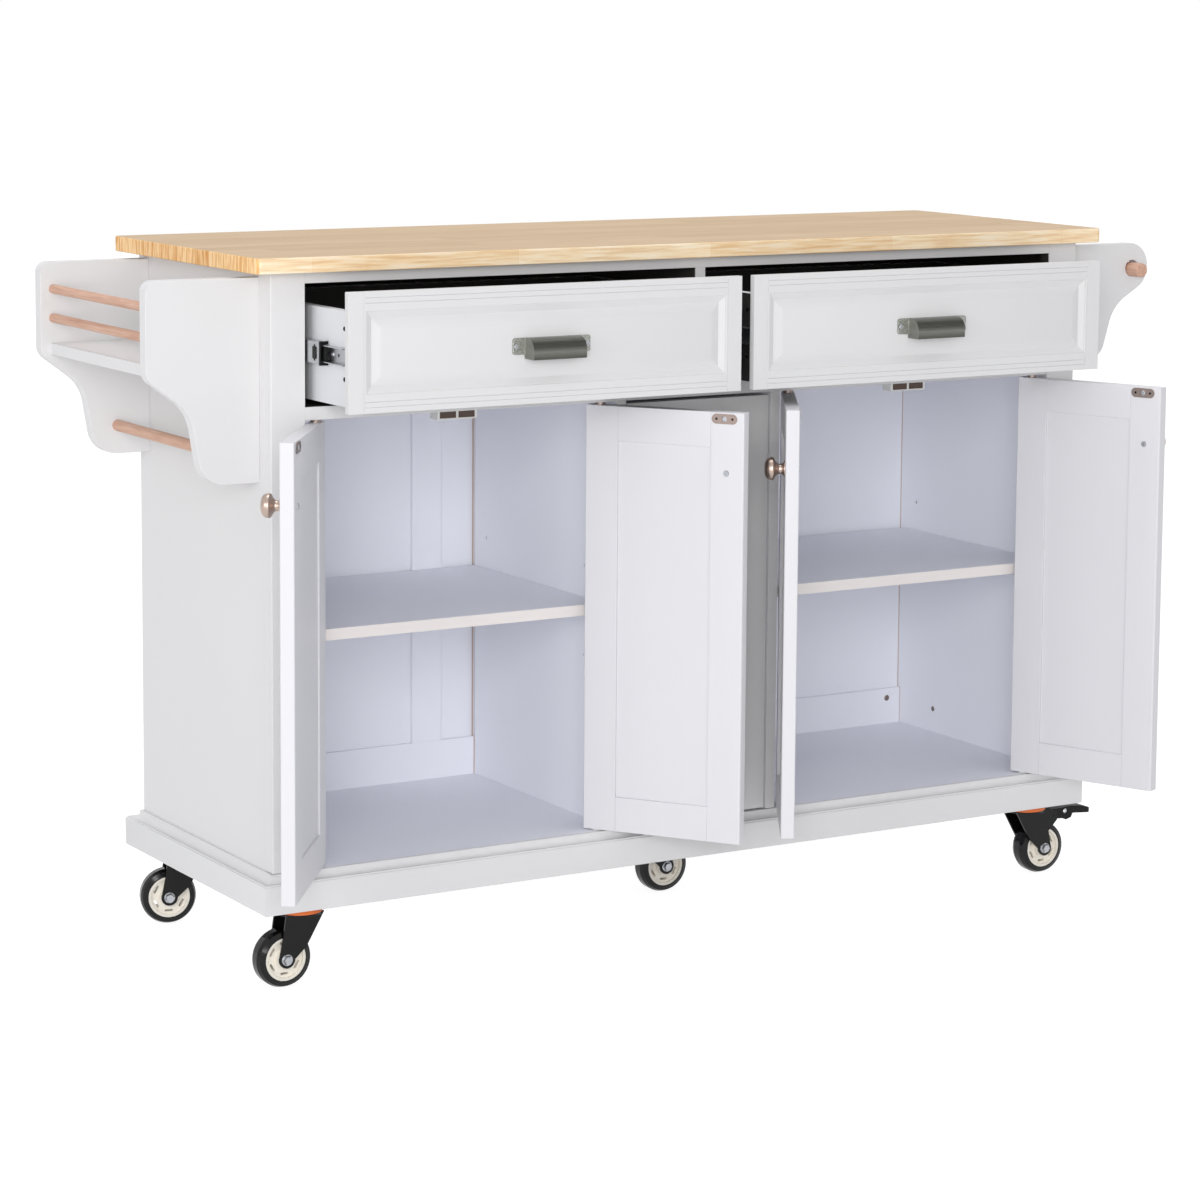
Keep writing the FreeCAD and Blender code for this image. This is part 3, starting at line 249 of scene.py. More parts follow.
# Painted light on the inner faces of the side panels.
PAINTED_LIGHT_ON_CUPBOARD_SIDES = (INTERIOR_PAINTED_LIGHT_WHITE, (606, 26, CUPBOARD_FOOT), (WALL_FACE, CARCASS_BACK, MIDDLE_BOARD))
OUTSIDE_BACK = (OUTER_WHITE, (0, BACK_MIDDLE, 0), (611, CARCASS_BACK, 909))
FRONT_EDGES = (OUTER_WHITE, (0, 20, 0), (612, 23.5, 909))
SHELF_EDGE = (EDGE_BAND, (100, 51.9, 400), (611, 52.3, 500))
# Painted shade inside the drawer boxes.
PAINTED_SHADE_IN_DRAWER_BOXES = (DRAWER_BOX_SHADE, (0, -83.4, 750), (565.2, 290, 865.2))
BACK_CORNERS = [(JOINT_BROWN, (low, 403.2, CUPBOARD_FOOT), (high, BACK_MIDDLE, 739))
                for low, high in ((127, 129.2), (608.8, 612))]

# The body's paint carries the painted shade of the drawer bays and the painted light inside the cupboards.
white_paint = painted("satin_white_paint", OUTER_WHITE, SATIN, [PAINTED_SHADE_IN_DRAWER_BAYS, PAINTED_LIGHT_ON_CUPBOARD_SIDES])
# The inner boards get the brighter painted-light white; their front edges and the outside of the back keep
# the plain white.
lit_interior_paint = painted("satin_white_interior_painted_light", INTERIOR_PAINTED_LIGHT_WHITE, MATT,
                      [PAINTED_SHADE_IN_DRAWER_BAYS, OUTSIDE_BACK, FRONT_EDGES, SHELF_EDGE] + BACK_CORNERS)
# Painted light: the doors' white is a slightly cooler copy, a painted cool cast of light; the drawer
# fronts' white is a slightly darker copy, painted shade.
door_white_with_painted_cool_light = painted("satin_white_doors_cool_painted_light", "#DEDDE0", SATIN)
front_white_with_painted_shade = painted("satin_white_fronts_painted_shade", "#DBDADA", SATIN)
# White melamine drawer boards, with painted shade inside the boxes.
laminate = painted("white_melamine_board", "#DCDDE0", MATT, [PAINTED_SHADE_IN_DRAWER_BOXES])

# %% [markdown]
# The worktop is finger-jointed rubberwood: staves glued side by side, each made of short lengths.
# A brick pattern gives the staves and their joints. The flat top is lacquered and grey-beige,
# the sawn front edge is warmer and shows long growth rings, and the ends show slanting end grain.
# Which of the three shows is taken from the way a face looks, straight up, forward or sideways.
# The grain patterns and warm tones are the wood's own; the greyer, darker top and the lighter edge
# and ends are partly painted light and shade, set by the way each face points.

# %% Finger-jointed rubberwood
STAVE = 48.0
STAVE_LENGTH = 290.0
GLUE_LINE = 0.5
STAVE_STEP = 0.37
GRAIN_TURN, END_GRAIN_TURN = math.radians(3), math.radians(-24)
STEEP = 0.6


def rubberwood():
    material, tree, shader, place = new_finish("lacquered_rubberwood", "#CDB89E", 0.6,
                                               Specular_IOR_Level=0.15)
    brick = add(tree, "ShaderNodeTexBrick", {
        "Vector": place, "Color1": (0, 0, 0, 1), "Color2": (1, 1, 1, 1), "Mortar": (0.3, 0.3, 0.3, 1),
        "Scale": 1.0, "Mortar Size": GLUE_LINE * MM, "Mortar Smooth": 0.1, "Bias": 0.0,
        "Brick Width": STAVE_LENGTH * MM, "Row Height": STAVE * MM}, offset=STAVE_STEP)
    stave = brick.outputs["Color"]
    fine = streaks(tree, place, (140, 3.5, 3.5), 6.0)
    rings = streaks(tree, place, (70, 9, 4.0), 5.0, (0, GRAIN_TURN, 0))
    slant = streaks(tree, place, (30, 4.0, 40), 4.0, (END_GRAIN_TURN, 0, 0))
    top = mixed(tree, 0.62, shades(tree, stave, [(0.0, "#BFA382"), (1.0, "#D4BB9A")]),
                shades(tree, fine, [(0.3, "#B39672"), (0.5, "#CDB291"), (0.7, "#DBC4A6")]))
    edge = mixed(tree, 0.5, shades(tree, stave, [(0.0, "#E8BC84"), (1.0, "#FFEDCF")]),
                 shades(tree, rings, [(0.36, "#DCA86C"), (0.5, "#F6D8A8"), (0.62, "#FFF3DC")]))
    end = mixed(tree, 0.6, shades(tree, stave, [(0.0, "#DFA768"), (1.0, "#FBD49C")]),
                shades(tree, slant, [(0.4, "#CC8844"), (0.5, "#F2C286"), (0.6, "#FDE2B6")]))
    normal = add(tree, "ShaderNodeNewGeometry").outputs["Normal"]
    facing = add(tree, "ShaderNodeSeparateXYZ", {"Vector": normal}).outputs
    sideways, forward = (maths(tree, "GREATER_THAN", maths(tree, "ABSOLUTE", facing[axis]), STEEP)
                         for axis in ("X", "Y"))
    # Painted light and shade: each face's colour is picked by the way it points, greyer and darker on top,
    # lighter and warmer on the front edge and the ends, over the wood's own grain.
    colour = mixed(tree, sideways, mixed(tree, forward, top, edge), end)
    tree.links.new(colour, shader.inputs["Base Color"])
    relief(tree, shader, fine, 0.04)
    return material


wood_top = rubberwood()

# %% [markdown]
# The rails of the rack, the towel rail and the roll rod are bare turned dowels. Their wood is
# pinker than the worktop, open-pored and matt.

# %% Bare turned dowel
def dowel_finish():
    material, tree, shader, place = new_finish("turned_dowel_wood", "#C39378", 0.6)
    grain = streaks(tree, place, (3, 60, 3))
    colour = shades(tree, grain, [(0.3, "#BC8F79"), (0.55, "#CFA68F"), (0.75, "#DCB9A6")])
    tree.links.new(colour, shader.inputs["Base Color"])
    relief(tree, shader, grain, 0.05)
    return material


dowel_wood = dowel_finish()

# %% [markdown]
# The metals are zinc plate on the slides and screws, brushed nickel with a brown cast on the
# knobs, and pewter that was blackened and rubbed back on the cup handles. On the handles' hoods the
# light and dark stripes along the round and the light ends are painted highlights and shade over
# that rubbing. Brushing shows as fine streaks along x. The plastics are moulded, with a fine even grain.

# %% Metals and plastics
def metal(name, colour, roughness, grit, worn=None):
    """Brushed metal. worn is the lighter colour that the streaks rub through to."""
    material, tree, shader, place = new_finish(name, colour, roughness, Metallic=1.0)
    brush = streaks(tree, place, (20, grit, grit), 3.0)
    if worn:
        tree.links.new(shades(tree, brush, [(0.4, colour), (0.75, worn)]), shader.inputs["Base Color"])
    relief(tree, shader, brush, 0.01)
    return material, tree, shader, place


def moulded(name, colour, roughness, grit, depth, gloss=0.5):
    """Plastic or coating with an even grain. grit and depth are its width and height."""
    material, tree, shader, place = new_finish(name, colour, roughness, Specular_IOR_Level=gloss)
    relief(tree, shader, noise(tree, place, grit), depth)
    return material


HOOD_LOW, HOOD_HIGH = 799.0, 826.0
HANDLE_CENTRE, HOOD_HALF = 292.75, 38.5
HOOD_FRONT, PLATE_FRONT, PLATE_BACK = -130.0, -95.7, -92.0
HANDLE_LOW, HANDLE_HIGH = 700.0, 900.0
CAP_HALF = 0.4


def pewter_finish():
    """The hood gets painted highlights and shade in stripes along its round and painted highlights at its
    ends, over real rubbing; the plate's ears are rubbed back all over.
    """
    material, tree, shader, place = metal("antique_pewter", "#55564F", 0.42, 0.6)
    brush = streaks(tree, place, (20, 0.6, 0.6), 3.0)
    height = add(tree, "ShaderNodeSeparateXYZ", {"Vector": place}).outputs["Z"]
    rise = add(tree, "ShaderNodeMapRange",
               {"Value": height, "From Min": HOOD_LOW * MM, "From Max": HOOD_HIGH * MM})
    # Painted highlights and shade: light and dark stripes along the round of the hood, set by height, over
    # real rubbing.
    painted_sheen_and_rubbing = shades(tree, rise.outputs["Result"], [
        (0.0, "#4B4C46"), (0.18, "#6C6D67"), (0.35, "#83847E"), (0.55, "#4C4D48"), (0.78, "#383935"),
        (0.9, "#6A6B65"), (1.0, "#92938D")])
    hood = mixed(tree, 0.3, painted_sheen_and_rubbing, shades(tree, brush, [(0.4, "#4C4D48"), (0.75, "#777872")]))
    # The ends of the hood are lighter: rubbed rims and a painted highlight.
    for end in (HANDLE_CENTRE - HOOD_HALF, HANDLE_CENTRE + HOOD_HALF):
        end_rubbing_and_highlight = inside(tree, place, (end - CAP_HALF, HOOD_FRONT, HANDLE_LOW),
                     (end + CAP_HALF, PLATE_FRONT, HANDLE_HIGH))
        hood = mixed(tree, end_rubbing_and_highlight, hood, linear("#8A8B86"))
    ears = shades(tree, noise(tree, place, 1.6), [(0.4, "#8A8B86"), (0.65, "#B2B3AD")])
    plate = inside(tree, place, (0, PLATE_FRONT, HANDLE_LOW), (620, PLATE_BACK, HANDLE_HIGH))
    tree.links.new(mixed(tree, plate, hood, ears), shader.inputs["Base Color"])
    return material


zinc = metal("bright_zinc_plate", "#B9BCC0", 0.3, 0.8, "#CDD0D2")[0]
screw_zinc = metal("zinc_screw_plate", "#A9ABB0", 0.35, 0.8, "#C4C6CA")[0]
bronzed = metal("bronzed_screw_plate", "#8E807A", 0.4, 0.8, "#A5968F")[0]
nickel = metal("brushed_nickel", "#B09C90", 0.3, 0.5, "#C9B8AE")[0]
pewter = pewter_finish()
black_coat = moulded("black_gloss_coat", "#0C0C0C", 0.22, 2.0, 0.01, 0.25)
tyre_rubber = moulded("black_polyurethane_tread", "#0A0A0B", 0.12, 4.0, 0.01, 0.3)
cream = moulded("cream_nylon_core", "#EFE9DD", 0.35, 3.0, 0.01)
orange = moulded("orange_dust_seal", "#E2702C", 0.5, 2.0, 0.01)
black_plastic = moulded("black_abs", "#0C0C0D", 0.45, 1.0, 0.02, 0.2)
white_plastic = moulded("white_abs_case", "#DADAD6", 0.45, 1.5, 0.01)
nylon = moulded("white_nylon_washer", "#E4E3DE", 0.4, 1.5, 0.01)
magnet_faces = moulded("brown_ferrite_magnet", "#4B3A31", 0.6, 1.0, 0.02)

FINISHES = {
    "butcher_block": wood_top, "white_paint": white_paint, "drawer_board": laminate,
    "dowel_wood": dowel_wood, "slide_steel": zinc, "zinc_steel": zinc, "catch_plastic": white_plastic,
    "caster_steel": black_coat, "seal_plastic": orange, "pewter": pewter, "nickel": nickel,
    "black_steel": black_coat, "tyre": tyre_rubber, "core_plastic": cream, "pedal_plastic": black_plastic,
}
INNER_BOARDS = ("mid_board", "floor_boards", "partitions", "back_frame", "back_panels", "shelves")
OTHER_PAINTS = {name: lit_interior_paint for name in INNER_BOARDS}
OTHER_PAINTS.update({f"door_{number}": door_white_with_painted_cool_light for number in (1, 2, 3, 4)})
OTHER_PAINTS.update({f"drawer_front_{hand}": front_white_with_painted_shade for hand in ("left", "right")})
for name, node in nodes.items():
    node.data.materials.clear()
    node.data.materials.append(OTHER_PAINTS.get(name) or FINISHES[slots[name]])
print("finishes", len(FINISHES))

# %% [markdown]
# A node of the frame is one mesh of loose triangles that holds several boards, so each board is
# found first, as a run of triangles whose edges all pair up.

# %% Find the boards of a node
def boards(mesh):
    """Lists of polygon numbers, one list for each closed solid."""
    corners = [tuple(round(c, 5) for c in v.co) for v in mesh.vertices]
    found, group, unpaired = [], [], {}
    for polygon in mesh.polygons:
        group.append(polygon.index)
        ring = [corners[i] for i in polygon.vertices]
        for a, b in zip(ring, ring[1:] + ring[:1]):
            if a == b:
                continue
            if unpaired.get((b, a)):
                unpaired[(b, a)] -= 1
                if not unpaired[(b, a)]:
                    del unpaired[(b, a)]
            else:
                unpaired[(a, b)] = unpaired.get((a, b), 0) + 1
        if not unpaired:
            found.append(group)
            group = []
    return found + ([group] if group else [])


# %% [markdown]
# A board is never as sharp as a drawing. Its edges are sanded, so they catch a thin line of light,
# and where two boards meet flush the two sanded edges leave a fine groove that shows the joint.
# Each board is merged, its flat faces are made whole, and a bevel goes along the edges that stand
# out.

# %% Ease their edges
EASE = 0.6
SHARP = math.radians(30)
ROUND = math.radians(20)
FLAT = math.radians(0.5)
SHORT = 2.5


def merged(mesh, group):
    """One solid with its corners merged and its flat faces whole."""
    solid = bmesh.new()
    corners = {}
    for index in group:
        ring = []
        for i in mesh.polygons[index].vertices:
            key = tuple(round(c, 6) for c in mesh.vertices[i].co)
            if key not in corners:
                corners[key] = solid.verts.new(mesh.vertices[i].co)
            if corners[key] not in ring:
                ring.append(corners[key])
        if len(ring) > 2 and not solid.faces.get(ring):
            solid.faces.new(ring)
    bmesh.ops.dissolve_limit(solid, angle_limit=FLAT, verts=solid.verts, edges=solid.edges)
    return solid


def as_mesh(solid, name):
    """The solid as a new mesh. The solid is freed."""
    mesh = bpy.data.meshes.new(name)
    solid.to_mesh(mesh)
    solid.free()
    return mesh


def joined(solids, name):
    """Several solids as one new mesh. They are freed."""
    whole = bmesh.new()
    for solid in solids:
        part = as_mesh(solid, "part")
        whole.from_mesh(part)
        bpy.data.meshes.remove(part)
    return as_mesh(whole, name)


def rounded(solid, edges, width):
    """A small round along edges, this many millimetres wide."""
    bmesh.ops.bevel(solid, geom=edges, offset=width * MM, offset_type="OFFSET", segments=2,
                    profile=0.5, affect="EDGES", clamp_overlap=False)


def place_piece(name, mesh, body, replaced=()):
    """A finished mesh as a piece that rides on a body."""
    made = bpy.data.objects.new(name, mesh)
    bpy.context.scene.collection.objects.link(made)
    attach(made, body)
    if replaced:
        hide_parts(*replaced)
    return made


def cut(mesh, cutter):
    """The mesh with a second mesh taken away from it."""
    first = bpy.data.objects.new("uncut", mesh)
    second = bpy.data.objects.new("cutter", cutter)
    for item in (first, second):
        bpy.context.scene.collection.objects.link(item)
    knife = first.modifiers.new("cut", "BOOLEAN")
    knife.operation, knife.solver, knife.object = "DIFFERENCE", "EXACT", second
    graph = bpy.context.evaluated_depsgraph_get()
    result = bpy.data.meshes.new_from_object(first.evaluated_get(graph))
    result.name = mesh.name
    first.modifiers.remove(knife)
    for item in (first, second):
        bpy.data.objects.remove(item)
    return result


def sanded(solid, ease, choose):
    """A solid with eased edges, smooth where it is round, and with its finish chosen."""
    spread = [[v.co[i] for v in solid.verts] for i in range(3)]
    size = [(max(values) - min(values)) / MM for values in spread]
    if ease:
        rounded(solid, [e for e in solid.edges if len(e.link_faces) == 2 and e.calc_length() > SHORT * MM
                        and e.calc_face_angle_signed(0) > SHARP], ease)
    for face in solid.faces:
        face.smooth = True
        face.material_index = choose(size) if choose else 0
    for edge in solid.edges:
        edge.smooth = edge.calc_face_angle(math.pi) < ROUND
    return solid


def eased(node, ease=EASE, finishes=None, choose=None, grooves=None):
    """A copy of a node with eased edges. choose(size) gives the number of a solid's finish."""
    source = nodes[node].data
    solids = [sanded(merged(source, group), ease, choose) for group in boards(source)]
    mesh = joined(solids, node + "_eased")
    for finish in finishes or [source.materials[0]]:
        mesh.materials.append(finish)
    if grooves:
        mesh = cut(mesh, grooves)
    place_piece(node + "_eased", mesh, bodies[node], [node])
    return len(mesh.polygons)


EASED = ["side_panels", "face_stiles", "top_rails", "plinth_boards", "middle_panel", "spice_rack",
         "holder_brackets", "drawer_box_left", "drawer_box_right", "door_1", "door_2", "door_3", "door_4",
         "drawer_handle_left", "drawer_handle_right"] + list(INNER_BOARDS)
faces = sum(eased(name) for name in EASED)
print("eased boards", len(EASED), "faces", faces)

# %% [markdown]
# A drawer front looks like a small frame. Its two upright stiles run through, so a fine line goes
# from the top edge to the bottom edge beside each, and the rails between them are run with two
# more lines. A router cuts such lines with a V-shaped bit, so here a V-shaped prism is taken away.

# %% Grooved drawer fronts
FRONT_FACE, FRONT_LOW, FRONT_HIGH = -93.5, 742.0, 891.0
FRONT_ENDS = {"left": (-576.0, -9.5), "right": (9.5, 576.0)}
STILE_LINE, RAIL_LINES = 21.0, (7.5, 14.0)
V_HALF, V_DEPTH, V_PROUD, V_PAST = 0.6, 0.8, 0.2, 1.0


def v_groove(tool, start, end):
    """A V-shaped prism on the drawer fronts' face from one (x, z) place to another."""
    along = Vector((end[0] - start[0], 0, end[1] - start[1])).normalized()
    aside = Vector((along.z, 0, -along.x)) * V_HALF
    corners = ((-aside, -V_PROUD), (aside, -V_PROUD), (Vector((0, 0, 0)), V_DEPTH))
    rings = [[tool.verts.new(at(x + side.x, FRONT_FACE + deep, z + side.z)) for side, deep in corners]
             for x, z in (start, end)]
    for k in range(3):
        n = (k + 1) % 3
        tool.faces.new((rings[0][k], rings[0][n], rings[1][n], rings[1][k]))
    tool.faces.new(rings[0])
    tool.faces.new(rings[1])


for hand, (left, right) in FRONT_ENDS.items():
    tool = bmesh.new()
    for x in (left + STILE_LINE, right - STILE_LINE):
        v_groove(tool, (x, FRONT_LOW - V_PAST), (x, FRONT_HIGH + V_PAST))
    for step in RAIL_LINES:
        for z in (FRONT_LOW + step, FRONT_HIGH - step):
            v_groove(tool, (left + STILE_LINE + V_PAST, z), (right - STILE_LINE - V_PAST, z))
    bmesh.ops.recalc_face_normals(tool, faces=tool.faces)
    faces = eased(f"drawer_front_{hand}", grooves=as_mesh(tool, "v_bit"))
    print("drawer front", hand, "faces", faces)

# %% [markdown]
# Some nodes hold solids of several materials. The catches are white cases round brown magnets, and
# the fittings of a door are a strike plate, two steel pins and two nylon washers. Their solids are
# told apart by size.

# %% Catches and door fittings
MAGNET_LENGTH = 30
WASHER_THICK = 2.5
CATCH_EASE = 0.4
eased("magnet_catches", CATCH_EASE, [white_plastic, magnet_faces],
      lambda size: int(size[0] < MAGNET_LENGTH))
for number in (1, 2, 3, 4):
    eased(f"door_{number}_fittings", 0, [bronzed, nylon], lambda size: int(size[2] < WASHER_THICK))
print("catches and fittings of", number, "doors")

# %% [markdown]
# The doors stand open at rest, each turned on its pins, so what goes on a door is drawn on the
# closed door and turned with it.

# %% The doors as they stand open
PIVOT_Y = 31.0
DOOR_FACE, DOOR_BACK = 22.0, 40.0
# For each door: the side of its free edge, its angle, and the x of its pivot and of its free edge.
DOORS = {1: (1, 126.0, -559, -354), 2: (-1, 125.5, -147, -352),
         3: (1, 121.9, 147, 352), 4: (-1, 113.6, 559, 354)}


def door_turn(number):
    """The turn that opens a closed door."""
    side, angle, pivot, free = DOORS[number]
    place = at(pivot, PIVOT_Y, 0)
    turn = Matrix.Rotation(math.radians(-side * angle), 4, "Z")
    return Matrix.Translation(place) @ turn @ Matrix.Translation(-place)


# %% [markdown]
# A knob is turned on a lathe: a small foot, a waist, a collar and a thick domed head. A profile of
# radius and reach is drawn once and carried round the axis in rings, with one point at each end.

# %% Turned knobs
KNOB_EDGE, KNOB_HEIGHT = 24.0, 640.0
KNOB_RINGS = 48
KNOB_PROFILE = ((10.5, 0.0), (10.5, 1.1), (10.0, 1.6), (8.2, 2.2), (7.1, 3.4), (6.6, 5.2), (6.5, 7.2),
                (6.8, 8.8), (7.9, 10.4), (10.2, 12.2), (12.4, 13.5), (14.0, 14.3), (14.8, 15.3),
                (15.0, 16.6), (14.9, 18.2), (14.4, 20.4), (13.5, 22.6), (12.2, 24.0), (10.4, 25.1),
                (8.0, 25.9), (4.6, 26.4))
KNOB_TIP = 26.5
KNOB_CREASE = math.radians(50)


def turned(profile, tip, rings):
    """A turned solid round z from (radius, height) points, in metres, closed at both ends."""
    solid = bmesh.new()
    angles = [2 * math.pi * k / rings for k in range(rings)]
    loops = [[solid.verts.new((r * MM * math.cos(a), r * MM * math.sin(a), h * MM)) for a in angles]
             for r, h in profile]
    foot = solid.verts.new((0, 0, profile[0][1] * MM))
    crown = solid.verts.new((0, 0, tip * MM))
    for k in range(rings):
        n = (k + 1) % rings
        for low, high in zip(loops, loops[1:]):
            solid.faces.new((low[k], low[n], high[n], high[k]))
        solid.faces.new((foot, loops[0][n], loops[0][k]))
        solid.faces.new((crown, loops[-1][k], loops[-1][n]))
    bmesh.ops.recalc_face_normals(solid, faces=solid.faces)
    for face in solid.faces:
        face.smooth = True
    for edge in solid.edges:
        edge.smooth = edge.calc_face_angle(0) < KNOB_CREASE
    return solid


FORWARD = Matrix.Rotation(math.radians(90), 4, "X")
for number, (side, angle, pivot, free) in DOORS.items():
    solid = turned(KNOB_PROFILE, KNOB_TIP, KNOB_RINGS)
    spot = Matrix.Translation(at(free - side * KNOB_EDGE, DOOR_FACE, KNOB_HEIGHT))
    solid.transform(door_turn(number) @ spot @ FORWARD)
    mesh = as_mesh(solid, f"door_{number}_turned_knob")
    mesh.materials.append(nickel)
    place_piece(mesh.name, mesh, f"door_{number}", [f"door_{number}_knob"])
print("knobs", len(DOORS))

# %% [markdown]
# Screws, bolts and rivets are all one idea: a tapered head with a few sides, and perhaps a cross
# cut into it. One geometry tree makes a head and sets it on every point of a carrier mesh, turned
# the way each point aims. Sizes are the tree's inputs, so one tree serves a whole shop.

# %% A tree that sets heads on points
def head_tree():
    """The geometry tree that makes a head and sets it on the points of its carrier."""
    tree = bpy.data.node_groups.new("heads_on_points", "GeometryNodeTree")
    face = tree.interface
    face.new_socket("Points", in_out="INPUT", socket_type="NodeSocketGeometry")
    for name in ("Radius", "Crown Radius", "Height", "Cut Length", "Cut Width", "Cut Depth"):
        face.new_socket(name, in_out="INPUT", socket_type="NodeSocketFloat")
    face.new_socket("Sides", in_out="INPUT", socket_type="NodeSocketInt")
    face.new_socket("Cross Cut", in_out="INPUT", socket_type="NodeSocketBool")
    face.new_socket("Finish", in_out="INPUT", socket_type="NodeSocketMaterial")
    face.new_socket("Heads", in_out="OUTPUT", socket_type="NodeSocketGeometry")
    given = add(tree, "NodeGroupInput").outputs

    # A tapered head, and the same head with two crossed bars taken away from its crown.
    head = add(tree, "GeometryNodeMeshCone", {
        "Vertices": given["Sides"], "Radius Top": given["Crown Radius"], "Radius Bottom": given["Radius"],
        "Depth": given["Height"]}).outputs["Mesh"]
    centre = add(tree, "ShaderNodeCombineXYZ", {"Z": given["Height"]}).outputs["Vector"]
    twice = maths(tree, "MULTIPLY", given["Cut Depth"], 2.0)
    cross = add(tree, "GeometryNodeMeshBoolean", {"Mesh 1": head}, operation="DIFFERENCE")
    for x, y in (("Cut Length", "Cut Width"), ("Cut Width", "Cut Length")):
        size = add(tree, "ShaderNodeCombineXYZ", {"X": given[x], "Y": given[y], "Z": twice})
        bar = add(tree, "GeometryNodeMeshCube", {"Size": size.outputs["Vector"]})
        bar = add(tree, "GeometryNodeTransform", {"Geometry": bar.outputs["Mesh"], "Translation": centre})
        tree.links.new(bar.outputs["Geometry"], cross.inputs["Mesh 2"])
    shape = add(tree, "GeometryNodeSwitch", {"Switch": given["Cross Cut"], "False": head,
                                             "True": cross.outputs["Mesh"]}, input_type="GEOMETRY")

    # One head on each point, turned to its aim.
    aim = add(tree, "GeometryNodeInputNamedAttribute", {"Name": "aim"}, data_type="FLOAT_VECTOR")
    turn = add(tree, "FunctionNodeAlignRotationToVector", {"Vector": aim.outputs["Attribute"]}, axis="Z")
    row = add(tree, "GeometryNodeInstanceOnPoints", {
        "Points": given["Points"], "Instance": shape.outputs["Output"],
        "Rotation": turn.outputs["Rotation"]})
    real = add(tree, "GeometryNodeRealizeInstances", {"Geometry": row.outputs["Instances"]})
    coat = add(tree, "GeometryNodeSetMaterial", {
        "Geometry": real.outputs["Geometry"], "Material": given["Finish"]})
    add(tree, "NodeGroupOutput", {"Heads": coat.outputs["Geometry"]})
    return tree


HEADS = head_tree()

# %% [markdown]
# The shapes of all the heads, as a hardware shop would list them: the radius and height in
# millimetres, the number of sides, the share of the radius that is left at the crown, and whether
# a cross is cut. A screw hole is a dark disc that lies on the surface, painted shade where the hole is.

# %% Shapes of heads
def screw(radius, height):
    """A round head with a cross cut."""
    return radius, height, 20, 0.75, True


def hole(radius):
    """A dark disc, painted shade in place of a hole."""
    return radius, 0.1, 12, 0.95, False


KNOB_SCREW, STRIKE_SCREW, STRIKE_HOLE_SHADE = screw(4.2, 1.6), screw(3.6, 0.8), hole(1.7)
EAR_SCREW, BOX_SCREW = screw(3.4, 1.0), screw(3.0, 0.5)
SLIDE_SCREW, SLIDE_HOLE_SHADE = screw(3.6, 1.2), hole(2.2)
RAIL_SCREW, SIDE_SCREW = screw(4.5, 1.0), screw(4.0, 0.6)
WASHER = (7.6, 1.0, 24, 0.92, False)
HEX_BOLT = (6.8, 3.6, 6, 0.8, False)
PEDAL_RIVET = (3.2, 0.9, 16, 0.6, False)
CUT_LENGTH, CUT_WIDTH, CUT_DEPTH = 1.1, 0.3, 0.6
LEFTWARD, RIGHTWARD = Vector((-1, 0, 0)), Vector((1, 0, 0))
FRONTWARD, REARWARD = Vector((0, -1, 0)), Vector((0, 1, 0))


def heads(name, body, finish, places, shape):
    """Heads of one shape at (place, aim) pairs, in metres."""
    radius, height, sides, crown, cross = shape
    points = bpy.data.meshes.new(name + "_points")
    points.from_pydata([place for place, aim in places], [], [])
    aims = points.attributes.new("aim", "FLOAT_VECTOR", "POINT")
    for item, (place, aim) in zip(aims.data, places):
        item.vector = aim
    carrier = bpy.data.objects.new(name + "_carrier", points)
    bpy.context.scene.collection.objects.link(carrier)
    modifier = carrier.modifiers.new("heads", "NODES")
    modifier.node_group = HEADS
    values = {"Radius": radius * MM, "Crown Radius": radius * crown * MM, "Height": height * MM,
              "Cut Length": radius * CUT_LENGTH * MM, "Cut Width": radius * CUT_WIDTH * MM,
              "Cut Depth": height * CUT_DEPTH * MM, "Sides": sides, "Cross Cut": cross, "Finish": finish}
    for item in HEADS.interface.items_tree:
        if item.name in values:
            modifier[item.identifier] = values[item.name]
    graph = bpy.context.evaluated_depsgraph_get()
    mesh = bpy.data.meshes.new_from_object(carrier.evaluated_get(graph))
    mesh.name = name
    carrier.modifiers.remove(modifier)
    bpy.data.objects.remove(carrier)
    place_piece(name, mesh, body)
    print(name, len(places), "faces", len(mesh.polygons))


# %% [markdown]
# Each knob is held by a screw from the inner side of its door, and each strike plate by one
# screw in the middle with a spare hole on each side.

# %% Screws on the doors
STRIKE_MIDDLE, STRIKE_HEIGHT, STRIKE_FACE, STRIKE_HOLE = 27.0, 710.5, 40.8, 11.0
for number, (side, angle, pivot, free) in DOORS.items():
    body = f"door_{number}"
    turn = door_turn(number)
    aim = turn.to_3x3() @ REARWARD
    middle = free - side * STRIKE_MIDDLE
    knob = turn @ at(free - side * KNOB_EDGE, DOOR_BACK, KNOB_HEIGHT)
    strike, *spares = [(turn @ at(middle + step, STRIKE_FACE, STRIKE_HEIGHT), aim)
                       for step in (0, -STRIKE_HOLE, STRIKE_HOLE)]
    heads(f"{body}_knob_screw", body, screw_zinc, [(knob, aim)], KNOB_SCREW)
    heads(f"{body}_strike_screw", body, screw_zinc, [strike], STRIKE_SCREW)
    # Painted shade: dark discs stand for the spare holes of the strike plate.
    heads(f"{body}_strike_hole_shades", body, black_plastic, spares, STRIKE_HOLE_SHADE)

# %% [markdown]
# The handles are screwed through their ears, the drawer boxes and the slides have screws in their
# sides, and a few cabinet screws show inside the cupboards, on the side walls and the back rail.

